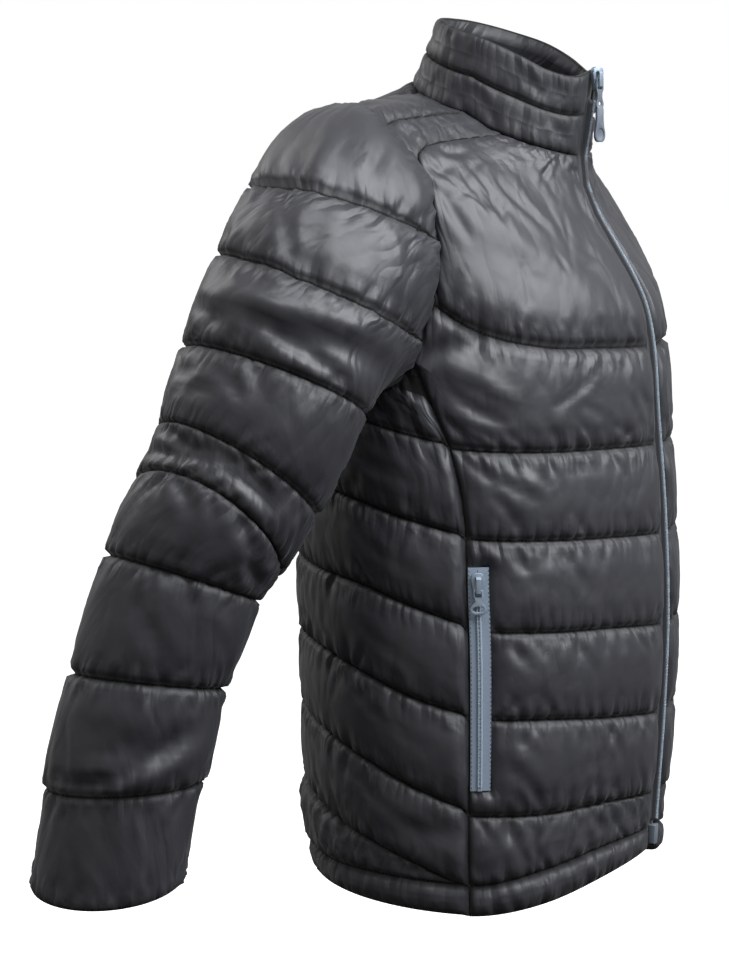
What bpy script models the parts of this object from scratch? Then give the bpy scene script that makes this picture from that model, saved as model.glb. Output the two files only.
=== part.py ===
"""Puffer jacket, filled out as if worn, with its sleeves hanging a little behind the body.

Metres, +Z up. The jacket faces -Y, the wearer's right is -X, and the origin is the middle of the
neck at the height of the shoulder seams, where the wearer's shoulders carry it.

Each cut piece is one closed wall: a plain inner face, and an outer face raised by the quilting.
The body pieces are cut from one smooth torso surface, addressed by an angle round the body
(0 at the front zip, 90 at the wearer's right, 180 at the centre back) and by a level up it.
"""

import bpy
import bmesh
import numpy as np

# Driving dimensions.
WALL = 0.003  # thickness of the cloth and flat padding along a seam
HALF_GAP = 0.0002  # each piece stops this far short of the seam line
TAPE_ANGLE = 6.9  # from the side-front seam to the front edge of the pocket zip's tape
POCKET_LOW = -0.551  # levels of the pocket zip's ends
POCKET_HIGH = -0.365
BODY_PUFF = 0.010  # rise of a body channel above its seams
SLEEVE_PUFF = 0.009
COLLAR_PUFF = 0.007
CUFF_PUFF = 0.004
PUFF_REACH = 0.032  # distance from a seam at which the padding has its full height
SEAM_REACH = 0.024  # the same beside the seams that run up and down
ZIP_HALF_OPENING = 0.0076  # from the zip's middle to the edge of each front
PROW = 0.011  # how far the stiff zip stands in front of the round of the body
PROW_ANGLE = 17.0
BACK_BLEND = 1.4  # how sharply a ring's height turns from its side to its back
CHEST_PADDING = 0.45  # share of the padding that is left at the neck
CHEST_THINS = (-0.15, -0.03)  # levels between which it thins


def columns(names, rows):
    """A table as one array for each named column."""
    return dict(zip(names.split(), np.array(rows, float).T))


# The torso's rings. Level is only an address: each ring has its own height at the side, front and
# back. Prow is how much of the zip's prow it has, point how pointed its front is, and blend how
# sharply its height turns from its side to its front.
TORSO = columns(
    "level z_side z_front z_back half_width y_side y_front y_back prow point blend",
    [
        (-0.680, -0.680, -0.680, -0.680, 0.187, 0.000, -0.134, 0.137, 1.0, 1.00, 1.4),
        (-0.600, -0.600, -0.600, -0.600, 0.192, 0.000, -0.138, 0.141, 1.0, 1.00, 1.4),
        (-0.500, -0.500, -0.500, -0.500, 0.196, 0.000, -0.145, 0.144, 1.0, 1.00, 1.4),
        (-0.420, -0.420, -0.420, -0.420, 0.198, 0.000, -0.148, 0.146, 1.0, 1.00, 1.4),
        (-0.330, -0.330, -0.330, -0.330, 0.199, 0.002, -0.145, 0.148, 1.0, 1.00, 1.4),
        (-0.250, -0.250, -0.250, -0.250, 0.200, 0.004, -0.141, 0.148, 0.8, 1.00, 1.4),
        (-0.190, -0.190, -0.193, -0.190, 0.201, 0.009, -0.138, 0.147, 0.7, 1.00, 1.4),
        (-0.145, -0.145, -0.162, -0.142, 0.202, 0.018, -0.132, 0.145, 0.7, 1.03, 1.4),
        (-0.095, -0.090, -0.134, -0.088, 0.205, 0.033, -0.121, 0.139, 0.6, 1.10, 1.4),
        (-0.055, -0.034, -0.107, -0.030, 0.206, 0.043, -0.107, 0.127, 0.4, 1.20, 1.4),
        (-0.030, 0.001, -0.078, 0.002, 0.186, 0.041, -0.092, 0.109, 0.2, 1.30, 1.3),
        (-0.012, 0.004, -0.050, 0.017, 0.128, 0.014, -0.084, 0.083, 0.0, 1.25, 1.0),
        (0.000, 0.003, -0.030, 0.031, 0.074, -0.013, -0.083, 0.060, 0.0, 1.00, 0.7),
    ],
)

# The armhole seam on the torso: turn 0 is the armpit, 90 the front, 180 the shoulder, 270 the back.
ARMHOLE = columns(
    "turn angle level",
    [
        (0, 99, -0.218),
        (30, 87.5, -0.208),
        (50, 80.5, -0.189),
        (70, 73, -0.148),
        (90, 65.5, -0.102),
        (110, 62, -0.069),
        (130, 61.5, -0.045),
        (150, 70, -0.032),
        (170, 87, -0.026),
        (190, 108, -0.023),
        (210, 125, -0.030),
        (230, 130, -0.054),
        (250, 127, -0.088),
        (280, 123, -0.135),
        (320, 114, -0.190),
        (360, 99, -0.218),
    ],
)
CORNER_TURN = 46.0  # where the side-front seam meets the armhole
YOKE_FRONT_TURN = 132.0  # where the yoke's front seam meets the armhole
YOKE_RIDGE_TURN = 160.0
YOKE_BACK_TURN = 222.0
CHEST_TURN_LIMIT = 120.0  # the chest line meets the armhole before this turn
YOKE_FRONT_ANGLE = 66.0  # where the yoke's seams meet the collar
YOKE_RIDGE_ANGLE = 93.0
YOKE_BACK_ANGLE = 138.0

# The side-front seam, from the hem up to the armhole.
SIDE_SEAM = columns(
    "level angle",
    [(-0.68, 67), (-0.40, 68), (-0.30, 69), (-0.26, 72.5), (-0.22, 78), (-0.19, 81.5), (-0.15, 85)],
)

# Levels of the front's quilt lines at four angles from the zip.
FRONT_LINES = {
    "angle": (0, 22, 42, 62, 86),
    "hem edge": (-0.621, -0.639, -0.652, -0.658, -0.652),
    "hem line": (-0.602, -0.611, -0.622, -0.631, -0.626),
    "hip": (-0.574, -0.573, -0.575, -0.573, -0.568),
    "low waist": (-0.504, -0.500, -0.495, -0.492, -0.486),
    "waist": (-0.428, -0.424, -0.422, -0.419, -0.414),
    "rib": (-0.350, -0.348, -0.346, -0.343, -0.336),
    "breast": (-0.275, -0.274, -0.273, -0.270, -0.262),
    "chest": (-0.188, -0.186, -0.183, -0.166, -0.106),
}

# Levels of the back's quilt lines, from the side-front seam round to the centre back.
BACK_LINES = {
    "angle": (62, 86, 101, 120, 150, 180),
    "hem edge": (-0.658, -0.652, -0.648, -0.643, -0.636, -0.634),
    "hem line": (-0.631, -0.626, -0.623, -0.621, -0.616, -0.614),
    "slant": (-0.640, -0.611, -0.596, -0.579, -0.560, -0.552),
    "hip": (-0.573, -0.547, -0.529, -0.511, -0.494, -0.488),
    "low waist": (-0.492, -0.472, -0.456, -0.441, -0.432, -0.428),
    "waist": (-0.419, -0.396, -0.382, -0.374, -0.368, -0.364),
    "rib": (-0.343, -0.325, -0.313, -0.303, -0.295, -0.291),
    "breast": (-0.270, -0.255, -0.245, -0.236, -0.226, -0.222),
    "chest": (-0.223, -0.204, -0.196, -0.186, -0.166, -0.158),
    "blade": (-0.150, -0.146, -0.140, -0.130, -0.108, -0.100),
}

# The sleeve's centre line and its half sizes seen from the side and from the front. Each ring's back
# and outer side lie further down the arm than its middle, by its tilt and its slant.
SLEEVE = columns(
    "x y z half_depth half_width tilt slant",
    [
        (-0.284, 0.070, -0.208, 0.075, 0.066, 0.003, -0.001),
        (-0.309, 0.092, -0.279, 0.068, 0.063, -0.002, -0.014),
        (-0.322, 0.112, -0.324, 0.064, 0.061, 0.006, -0.032),
        (-0.330, 0.131, -0.366, 0.059, 0.058, 0.008, -0.006),
        (-0.343, 0.157, -0.449, 0.056, 0.055, 0.012, 0.000),
        (-0.352, 0.175, -0.533, 0.058, 0.055, 0.014, 0.007),
        (-0.357, 0.188, -0.612, 0.058, 0.055, 0.007, 0.018),
    ],
)
SLEEVE_START = (-0.9, 0.05, -0.42)  # direction in which the sleeve leaves the armhole
CAP_PULL = 0.85  # how long it keeps that direction, as a share of the distance to the first ring
# How far the padding fills the sleeve head out between the armhole and the first ring.
CAP_BULGE = columns(
    "turn height",
    [
        (0, 0.0),
        (60, 0.0),
        (110, 0.004),
        (150, 0.012),
        (190, 0.018),
        (230, 0.016),
        (280, 0.008),
        (330, 0.0),
        (360, 0.0),
    ],
)
CAP_BULGE_SKEW = 0.7  # below 1, its highest place lies nearer to the armhole
# The two quilt lines that cross the sleeve head, as planes across the arm.
CAP_LINES = {
    "upper": {"point": (-0.232, 0.034, -0.073), "normal": (-0.30, 0.16, -0.94)},
    "lower": {"point": (-0.262, 0.038, -0.140), "normal": (-0.28, 0.30, -0.91)},
}

# The collar's top edge.
COLLAR_TOP = columns(
    "angle half_width y z",
    [
        (0, 0.066, -0.0945, 0.043),
        (25, 0.066, -0.087, 0.037),
        (45, 0.066, -0.070, 0.043),
        (60, 0.066, -0.054, 0.053),
        (80, 0.066, -0.031, 0.065),
        (110, 0.066, 0.002, 0.077),
        (145, 0.066, 0.026, 0.085),
        (180, 0.066, 0.035, 0.087),
    ],
)
COLLAR_LINE = 0.50  # the collar's quilt line, as a share of its height

# Rows of points across each kind of channel, as shares of its height.
CHANNEL = (0.2, 0.5, 0.8, 1.0)
HIP_CHANNEL = (0.25, 0.7, 1.0)
HEM_BAND = (0.5, 1.0)
WEDGE = (0.4, 1.0)
UNDER_ARM = (0.4, 1.0)
UNDER_CHEST = (0.6, 1.0)
OVER_CHEST = (0.12, 0.35, 0.57, 0.79, 1.0)
OVER_CORNER = (0.35, 0.7, 1.0)
CAP_CHANNEL = (0.25, 0.75, 1.0)
COLLAR_CHANNEL = (0.25, 0.75, 1.0)
YOKE_FRONT_SPAN = (0.5, 1.0)
YOKE_BACK_SPAN = (0.25, 0.5, 0.75, 1.0)
WHOLE = (1.0,)
YOKE_COLUMNS = 5
FRONT_COLUMNS = 9
UNDER_COLUMNS = 3
BACK_COLUMNS = 9

# The largest folds, each through three places of a surface.
FOLD_COLUMNS = "turn_1 place_1 turn_2 place_2 turn_3 place_3 half_width height"
FRONT_FOLDS = columns(
    FOLD_COLUMNS,
    [
        (80, -0.189, 69, -0.185, 57, -0.177, 0.011, -0.006),
        (52, -0.040, 38, -0.075, 19, -0.131, 0.016, 0.003),
    ],
)
BACK_FOLDS = columns(FOLD_COLUMNS, [(90, -0.583, 79, -0.586, 68, -0.584, 0.011, -0.005)])
SLEEVE_FOLDS = columns(
    FOLD_COLUMNS,
    [
        (162, 0.89, 128, 0.85, 74, 0.72, 0.012, -0.007),
        (200, 0.84, 149, 0.76, 95, 0.61, 0.014, 0.003),
        (208, 2.64, 162, 2.35, 101, 2.17, 0.012, -0.006),
        (176, 5.82, 138, 5.80, 95, 5.52, 0.011, 0.003),
        (176, 5.62, 139, 5.60, 108, 5.42, 0.012, -0.005),
    ],
)

# Zips. Sections are shares across the strip with heights above its underside.
ZIP_TAPE = 0.0016
FRONT_ZIP_SECTION = {
    "across": np.array((-1.0, -0.48, -0.38, -0.18, 0.18, 0.38, 0.48, 1.0)),
    "height": np.array((1.6, 3.4, 6.2, 7.2, 7.2, 6.2, 3.4, 1.6)) / 1000,
}
POCKET_ZIP_SECTION = {
    "across": np.array((0.0, 0.30, 0.36, 0.52, 0.58, 1.0)),
    "height": np.array((1.6, 1.6, 3.2, 3.2, 1.6, 1.6)) / 1000,
}
TAPE_START = 0.4  # angle from the side-front seam to the pocket tape
TAPE_END = 0.3  # angle from the tape to where the front's padding begins
POCKET_GAP = 0.0005  # from the front's cloth to the pocket tape
POCKET_COIL_SHARE = 0.44
POCKET_SLIDER_LENGTH = 0.026  # bare tape at the top of each zip, where its slider rides
FRONT_SLIDER_LENGTH = 0.024
BOX_LENGTH = 0.020  # and at the foot of the front zip, where its box sits
COIL_END = 0.004  # length over which a coil rises from its tape
COLLAR_FRONT_HEIGHT = 0.073

# Sliders and pulls: right halves of their outlines, listed upwards, as across and up.
SLIDER_GAP = 0.0004
SLIDER_HALF = (
    np.array([(2.6, -9.5), (3.6, -8.5), (4.0, -4.0), (5.2, 2.0), (5.6, 6.0), (4.8, 9.0), (2.6, 10.5)]) / 1000
)
ARCH_HALF_WIDTH = 0.0021
# The arch seen from its side, as up and out above the slider's plate.
ARCH_SIDE = (
    np.array(
        [
            (-7.4, -0.4),
            (-6.0, -0.4),
            (-6.0, 2.0),
            (-5.2, 2.8),
            (5.2, 2.8),
            (6.0, 2.0),
            (6.0, -0.4),
            (7.4, -0.4),
            (7.4, 2.6),
            (6.0, 4.0),
            (-6.0, 4.0),
            (-7.4, 2.6),
        ]
    )
    / 1000
)
HINGE_OVER_PLATE = 0.0014
PULL_THICKNESS = 0.0014
POCKET_PLATE = 0.0026  # height of a slider's plate above the tape
POCKET_HINGE_DROP = 0.0042
POCKET_SLIDER_DROP = 0.0150  # from the tape's end to the slider's middle
POCKET_PULL_HALF = (
    np.array([
        (3.2, -19.8), (6.2, -18.0), (7.0, -14.8), (5.4, -11.6),
        (2.6, -9.0), (3.0, -6.4), (4.2, -4.6), (4.2, 0.7),
    ])
    / 1000
)
POCKET_PULL_EYE = np.array([(2.6, -5.2), (2.6, -0.7)]) / 1000
POCKET_PULL_RING = {"middle": -0.0150, "half_across": 0.0048, "half_up": 0.0024}
FRONT_PLATE = 0.0050
FRONT_SLIDER_TURN = 30.0  # the soft tape's end turns the slider to the wearer's right
FRONT_SLIDER_STAND = 0.0016
FRONT_SLIDER_HEIGHT = 0.0340
FRONT_LINK_HALF = (
    np.array([
        (3.0, -24.5), (3.9, -22.5), (4.0, -20.0), (3.2, -17.8),
        (2.5, -15.0), (2.7, -11.5), (3.8, -8.6), (3.8, 0.7),
    ])
    / 1000
)
FRONT_LINK_EYE = np.array([(2.5, -8.2), (2.5, -0.7)]) / 1000
FRONT_LINK_HOLE = {"middle": -0.0204, "half_across": 0.0016, "half_up": 0.0016}
FRONT_TAB_HALF = (
    np.array([
        (2.2, -53.0), (4.2, -51.6), (5.4, -48.6), (5.4, -45.0),
        (4.2, -40.0), (3.6, -34.0), (3.6, -26.0), (3.0, -23.2),
    ])
    / 1000
)
FRONT_TAB_RECESS = {"middle": -0.0462, "half_across": 0.0040, "half_up": 0.0052}
TAB_THICKNESS = 0.0026
TAB_RECESS_DEPTH = 0.0006
BOX_HALF = np.array([(3.6, -8.6), (4.6, -7.6), (4.6, 7.6), (3.6, 8.6)]) / 1000
BOX_HEIGHT = 0.0058


# Curves and grids.


def spline(keys, values, at):
    """A smooth curve through a table's points, with each slope taken from its neighbours."""
    keys = np.asarray(keys, float)
    values = np.asarray(values, float)
    slopes = np.gradient(values, keys, axis=0)
    at = np.asarray(at, float)
    first = np.clip(np.searchsorted(keys, at, side="right") - 1, 0, len(keys) - 2)
    span = keys[first + 1] - keys[first]
    share = (at - keys[first]) / span
    if values.ndim > 1:
        span = span[..., None]
        share = share[..., None]
    left = 1 - share
    start = values[first] * (1 + 2 * share) * left**2 + slopes[first] * span * share * left**2
    end = values[first + 1] * (1 + 2 * left) * share**2 - slopes[first + 1] * span * left * share**2
    return start + end


def unit(vectors):
    return vectors / np.maximum(np.linalg.norm(vectors, axis=-1, keepdims=True), 1e-12)


def rounded(share):
    """The padding's profile beside a seam: steep at the seam, level at full height."""
    return np.sqrt(1 - (1 - np.clip(share, 0, 1)) ** 2)


def torso(angle, level):
    """Points of the torso surface."""
    ring = {name: spline(TORSO["level"], TORSO[name], level) for name in TORSO if name != "level"}
    turn = np.radians(angle)
    front = np.maximum(np.cos(turn), 0)
    back = np.maximum(-np.cos(turn), 0)
    height = ring["z_side"] + (ring["z_front"] - ring["z_side"]) * front ** ring["blend"]
    height = height + (ring["z_back"] - ring["z_side"]) * back**BACK_BLEND
    depth = ring["y_side"] + (ring["y_front"] - ring["y_side"]) * front ** ring["point"]
    depth = depth + (ring["y_back"] - ring["y_side"]) * back
    depth = depth - PROW * ring["prow"] * np.exp(-((np.asarray(angle) / PROW_ANGLE) ** 2))
    return np.stack(np.broadcast_arrays(-ring["half_width"] * np.sin(turn), depth, height), -1)


def surface_normal(surface, angle, level, angle_step, level_step):
    """Outward normals of a surface that is addressed by angle and level."""
    along = surface(angle + angle_step, level) - surface(angle - angle_step, level)
    up = surface(angle, level + level_step) - surface(angle, level - level_step)
    return unit(np.cross(up, along))


def torso_normal(angle, level):
    return surface_normal(torso, angle, level, 0.5, 0.001)


def collar_surface(angle, share):
    """Points of the collar: share 0 is the neck seam and 1 the top edge."""
    turn = np.radians(angle)
    folded = np.abs((np.asarray(angle) + 180) % 360 - 180)
    top_x = -spline(COLLAR_TOP["angle"], COLLAR_TOP["half_width"], folded) * np.sin(turn)
    top_y = spline(COLLAR_TOP["angle"], COLLAR_TOP["y"], folded)
    top_z = spline(COLLAR_TOP["angle"], COLLAR_TOP["z"], folded)
    top = np.stack(np.broadcast_arrays(top_x, top_y, top_z), -1)
    foot = torso(folded, np.zeros_like(folded))
    foot[..., 0] = np.sign(np.sin(turn)) * -np.abs(foot[..., 0])
    share = np.asarray(share)[..., None]
    return foot + (top - foot) * share


def collar_normal(angle, share):
    return surface_normal(collar_surface, angle, share, 0.5, 0.01)


def armhole(turn):
    """Angle and level of the armhole seam on the torso."""
    turn = np.asarray(turn) % 360
    keys = np.concatenate([ARMHOLE["turn"][-3:-1] - 360, ARMHOLE["turn"], ARMHOLE["turn"][1:3] + 360])
    found = []
    for name in ("angle", "level"):
        values = ARMHOLE[name]
        found.append(spline(keys, np.concatenate([values[-3:-1], values, values[1:3]]), turn))
    return found


def line_levels(lines, angle):
    """Levels of a panel's quilt lines at an angle, from the hem up, never crossing each other."""
    names = [name for name in lines if name != "angle"]
    levels = np.array([spline(lines["angle"], lines[name], angle) for name in names])
    return np.maximum.accumulate(levels, axis=0)


def zip_angle(level):
    """The angle at which a front's edge runs beside the zip."""
    half_width = spline(TORSO["level"], TORSO["half_width"], level)
    return np.degrees(np.arcsin(ZIP_HALF_OPENING / half_width))


def steps(count):
    """Shares that cut a span in equal steps."""
    return tuple(np.arange(1, count + 1) / count)


def subdivided(stops, spans):
    """Values between neighbouring stops, at each span's shares of the way."""
    values = [stops[0]]
    for start, end, shares in zip(stops, stops[1:], spans):
        values += list(start + (end - start) * np.array(shares))
    return np.array(values)


# Walls.


def grid_cells(rows, across, wrap=False, keep=None):
    """Row and column of each cell in a grid, with the column that follows it."""
    cells = []
    for row in range(rows - 1):
        for column in range(across if wrap else across - 1):
            if keep is None or keep(row, column):
                cells.append((row, column, (column + 1) % across))
    return cells


def weld(points):
    """One number for each different point of a grid, so that collapsed cells share theirs."""
    keys = {}
    numbers = np.zeros(points.shape[:2], int)
    for place in np.ndindex(points.shape[:2]):
        key = tuple(np.round(points[place], 6))
        numbers[place] = keys.setdefault(key, len(keys))
    return numbers, len(keys)


def cell_face(numbers, low, high, left, right):
    corners = [numbers[low, left], numbers[low, right], numbers[high, right], numbers[high, left]]
    face = [corner for place, corner in enumerate(corners) if corner != corners[place - 1]]
    return face if len(set(face)) == len(face) >= 3 else None


def border_loops(faces):
    """The open borders of a set of faces, as loops of point numbers."""
    follows = {}
    edges = {(a, b) for face in faces for a, b in zip(face, face[1:] + face[:1])}
    for a, b in edges:
        if (b, a) not in edges:
            follows[a] = b
    loops = []
    while follows:
        start = min(follows)
        loop = [start]
        after = follows.pop(start)
        while after != start:
            loop.append(after)
            after = follows.pop(after)
        loops.append(loop)
    return loops


def inset_border(points, normals, faces, loops):
    """Moves the points of the open borders inwards along the surface by half a seam gap."""
    centre = {}
    for face in faces:
        middle = points[face].mean(0)
        for corner in face:
            centre.setdefault(corner, []).append(middle)
    moved = points.copy()
    for loop in loops:
        for before, corner, after in zip(loop[-1:] + loop[:-1], loop, loop[1:] + loop[:1]):
            inwards = np.mean(centre[corner], 0) - points[corner]
            sides = []
            for other in (before, after):
                side = np.cross(normals[corner], unit(points[other] - points[corner]))
                sides.append(unit(side) * np.sign(side @ inwards))
            shift = sides[0] + sides[1]
            moved[corner] += HALF_GAP * shift / max(1 + sides[0] @ sides[1], 0.4)
    return moved


def edge_strip(loop, inner_number, outside, inside):
    """Faces of the wall's edge between an outer border loop and the fewer inner points below it."""
    first = next(place for place, corner in enumerate(loop) if corner in inner_number)
    loop = loop[first:] + loop[: first + 1]
    stops = [place for place, corner in enumerate(loop) if corner in inner_number]
    faces = []
    for start, end in zip(stops, stops[1:]):
        span = loop[start : end + 1]
        behind, ahead = inner_number[span[0]], inner_number[span[-1]]
        if len(span) == 2:
            faces.append([span[1], span[0], behind, ahead])
            continue
        # The same point is the middle one from either side of a seam, so that both edges agree.
        to_behind = np.linalg.norm(outside[span] - inside[span[0]], axis=-1)
        to_ahead = np.linalg.norm(outside[span] - inside[span[-1]], axis=-1)
        middle = int(np.argmin(np.abs(to_behind - to_ahead)))
        faces.append([span[middle], behind, ahead])
        for place, (here, after) in enumerate(zip(span, span[1:])):
            faces.append([after, here, behind if place < middle else ahead])
    return faces


def wall_mesh(base, normals, lift, cells, inner_rows, inner_drop=0.0):
    """Points and faces of a closed wall on a grid: the outer face is lifted, the inner one is plain."""
    numbers, count = weld(base)
    flat_base = np.zeros((count, 3))
    flat_normal = np.zeros((count, 3))
    flat_lift = np.zeros(count)
    flat_drop = np.zeros(count)
    for place in np.ndindex(numbers.shape):
        number = numbers[place]
        flat_base[number] = base[place]
        flat_normal[number] = normals[place]
        flat_lift[number] = lift[place]
        flat_drop[number] = inner_drop if np.isscalar(inner_drop) else inner_drop[place]
    outer = [cell_face(numbers, row, row + 1, left, right) for row, left, right in cells]
    outer = [face for face in outer if face]
    starts = dict(zip(inner_rows, inner_rows[1:]))
    inner = [cell_face(numbers, row, starts[row], left, right) for row, left, right in cells if row in starts]
    inner = [face for face in inner if face]
    loops = border_loops(outer)
    flat_base = inset_border(flat_base, flat_normal, outer, loops)
    outside = flat_base + flat_normal * (WALL + flat_lift)[:, None]
    inside = flat_base - flat_normal * flat_drop[:, None]
    used = sorted({corner for face in inner for corner in face})
    inner_number = {corner: count + place for place, corner in enumerate(used)}
    faces = [list(face) for face in outer]
    faces += [[inner_number[corner] for corner in reversed(face)] for face in inner]
    for loop in loops:
        faces += edge_strip(loop, inner_number, outside, inside)
    return np.concatenate([outside, inside[used]]), faces


def add_object(name, points, faces, material, smooth_angle=0.7):
    """Adds a closed mesh as an object, shaded smooth but for its sharp edges."""
    mesh = bpy.data.meshes.new(name)
    mesh.from_pydata([tuple(point) for point in points], [], faces)
    shape = bmesh.new()
    shape.from_mesh(mesh)
    loose = [vert for vert in shape.verts if not vert.link_faces]
    bmesh.ops.delete(shape, geom=loose, context="VERTS")
    bmesh.ops.triangulate(shape, faces=shape.faces[:], quad_method="SHORT_EDGE")
    bmesh.ops.recalc_face_normals(shape, faces=shape.faces[:])
    shape.to_mesh(mesh)
    shape.free()
    mesh.shade_smooth()
    mesh.set_sharp_from_angle(angle=smooth_angle)
    mesh.materials.append(material)
    thing = bpy.data.objects.new(name, mesh)
    bpy.context.scene.collection.objects.link(thing)
    return thing


def mirrored(points, faces):
    """The same wall on the wearer's other side."""
    return points * (-1, 1, 1), [face[::-1] for face in faces]


def arc_lengths(points):
    """Distances along the first axis of a grid of points."""
    steps = np.linalg.norm(np.diff(points, axis=0), axis=-1)
    return np.concatenate([np.zeros((1,) + steps.shape[1:]), np.cumsum(steps, axis=0)])


def channel_lift(base, line_rows, height, reach=PUFF_REACH):
    """Padding height from the distance, up or down a column, to the nearest quilt line."""
    along = arc_lengths(base)
    lift = np.zeros(base.shape[:2])
    for low, high in zip(line_rows, line_rows[1:]):
        rows = slice(low, high + 1)
        distance = np.minimum(along[rows] - along[low], along[high] - along[rows])
        half_channel = (along[high] - along[low]) / 2
        fullness = np.clip(half_channel / reach, 0, 1)
        lift[rows] = height * fullness * rounded(distance / np.maximum(np.minimum(half_channel, reach), 1e-6))
    return lift


def edge_fade(base):
    """How full the padding is, from the distance along a row to the panel's two side seams."""
    along = arc_lengths(np.swapaxes(base, 0, 1)).T
    return rounded(np.minimum(along, along[:, -1:] - along) / SEAM_REACH)


# Materials.


def material(name, colour, roughness, metallic=0.0):
    made = bpy.data.materials.new(name)
    made.use_nodes = True
    shader = made.node_tree.nodes["Principled BSDF"]
    shader.inputs["Base Color"].default_value = (*colour, 1)
    shader.inputs["Roughness"].default_value = roughness
    shader.inputs["Metallic"].default_value = metallic
    made.diffuse_color = (*colour, 1)
    return made


# Places that neighbouring pieces share.


def place_among(lines, angle, level):
    """How many quilt lines lie below a point, with its share of the channel it is in."""
    levels = np.append(line_levels(lines, angle), 0.0)
    below = int(np.clip(np.searchsorted(levels, level, side="right") - 1, 0, len(levels) - 2))
    return below + (level - levels[below]) / max(levels[below + 1] - levels[below], 1e-9)


def level_at(lines, angle, place):
    levels = np.append(line_levels(lines, angle), 0.0)
    return float(np.interp(place, np.arange(len(levels)), levels))


def meeting(lines, place, path, low, high):
    """The parameter, between two others, at which a rising path meets a row of quilt places."""
    for _ in range(50):
        middle = (low + high) / 2
        if place_among(lines, *path(middle)) < place:
            low = middle
        else:
            high = middle
    return (low + high) / 2


def seam_path(level):
    """The side-front seam."""
    return float(spline(SIDE_SEAM["level"], SIDE_SEAM["angle"], level)), float(level)


def arm_path(turn):
    angle, level = armhole(turn)
    return float(angle), float(level)


def yoke_point(arm_turn, neck_angle, share):
    """A point of the yoke between its armhole edge, share 0, and the collar, share 1."""
    angle, level = arm_path(arm_turn)
    return angle + (neck_angle - angle) * share, level * (1 - share)


def seam_level(lines, place):
    return meeting(lines, place, seam_path, SIDE_SEAM["level"][0], SIDE_SEAM["level"][-1])


def falling_turn(place):
    """The turn at which a row of the back meets the armhole's back edge."""
    return 360 - meeting(BACK_LINES, place, lambda turn: arm_path(360 - turn), 0.0, 360 - YOKE_BACK_TURN)


FRONT_NAMES = [name for name in FRONT_LINES if name != "angle"]
BACK_NAMES = [name for name in BACK_LINES if name != "angle"]
CHEST_TURN = meeting(FRONT_LINES, FRONT_NAMES.index("chest"), arm_path, CORNER_TURN, CHEST_TURN_LIMIT)
ARMPIT_PLACE = place_among(BACK_LINES, *arm_path(0.0))

# Rows of points up the side-front seam: the front's quilt lines, then three places of the back's.
SEAM_SPANS = (HEM_BAND, HIP_CHANNEL, CHANNEL, CHANNEL, CHANNEL, CHANNEL, UNDER_ARM, WHOLE, WHOLE)
SEAM_LEVELS = subdivided(
    [seam_level(FRONT_LINES, place) for place in range(FRONT_NAMES.index("breast") + 1)]
    + [
        seam_level(BACK_LINES, ARMPIT_PLACE),
        seam_level(BACK_LINES, BACK_NAMES.index("chest")),
        meeting(FRONT_LINES, place_among(FRONT_LINES, *arm_path(CORNER_TURN)), seam_path, -0.3, -0.1),
    ],
    SEAM_SPANS,
)
CORNER_PLACE = place_among(BACK_LINES, *seam_path(SEAM_LEVELS[-1]))
YOKE_BACK_PLACE = place_among(BACK_LINES, *arm_path(YOKE_BACK_TURN))

FRONT_ARM_TURNS = subdivided([CORNER_TURN, CHEST_TURN, YOKE_FRONT_TURN], (UNDER_CHEST, OVER_CHEST))
YOKE_STOPS = (YOKE_FRONT_SPAN, YOKE_BACK_SPAN)
YOKE_TURNS = subdivided([YOKE_FRONT_TURN, YOKE_RIDGE_TURN, YOKE_BACK_TURN], YOKE_STOPS)
YOKE_NECK_ANGLES = subdivided([YOKE_FRONT_ANGLE, YOKE_RIDGE_ANGLE, YOKE_BACK_ANGLE], YOKE_STOPS)
UNDER_TURNS = np.linspace(CORNER_TURN, 0, UNDER_COLUMNS + 1)
YOKE_SHARES = np.arange(YOKE_COLUMNS + 1) / YOKE_COLUMNS

# Rows of points up the back. The first ones are the hem band and the wedge below the slanting line,
# which comes to a point on the side-front seam.
BACK_SPANS = (HEM_BAND, WEDGE) + SEAM_SPANS[1:] + (OVER_CORNER, OVER_CORNER)
BACK_STOPS = list(range(BACK_NAMES.index("breast") + 1)) + [
    ARMPIT_PLACE,
    BACK_NAMES.index("chest"),
    CORNER_PLACE,
    BACK_NAMES.index("blade"),
    YOKE_BACK_PLACE,
]
BACK_PLACES = subdivided(BACK_STOPS, BACK_SPANS)
BACK_PLACES = np.append(
    BACK_PLACES,
    [
        place_among(BACK_LINES, *yoke_point(YOKE_BACK_TURN, YOKE_BACK_ANGLE, share))
        for share in YOKE_SHARES[1:]
    ],
)
WEDGE_ROWS = len(WEDGE)
ARMPIT_ROW = int(np.argmin(np.abs(BACK_PLACES - ARMPIT_PLACE)))
CORNER_ROW = int(np.argmin(np.abs(BACK_PLACES - CORNER_PLACE)))
YOKE_ROW = len(BACK_PLACES) - len(YOKE_SHARES)


def span_ends(spans):
    """The first row, and the last row of each span."""
    return [int(row) for row in np.cumsum([0] + [len(span) for span in spans])]


def line_row(places, place):
    return int(np.argmin(np.abs(np.array(places) - place)))


def seam_direction(turn):
    """The direction that both walls share along the armhole seam."""
    return unit(unit(torso_normal(*arm_path(turn))) + sleeve_normal(turn, 0.02))


def neck_direction(angle):
    """The direction that both walls share along the neck seam, at angles right round it."""
    folded = np.abs((np.asarray(angle, float) + 180) % 360 - 180)
    direction = unit(torso_normal(folded, 0.0) + collar_normal(folded, 0.02))
    direction[..., 0] *= np.where(np.sin(np.radians(angle)) < 0, -1, 1)
    return direction


# The sleeve.


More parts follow.
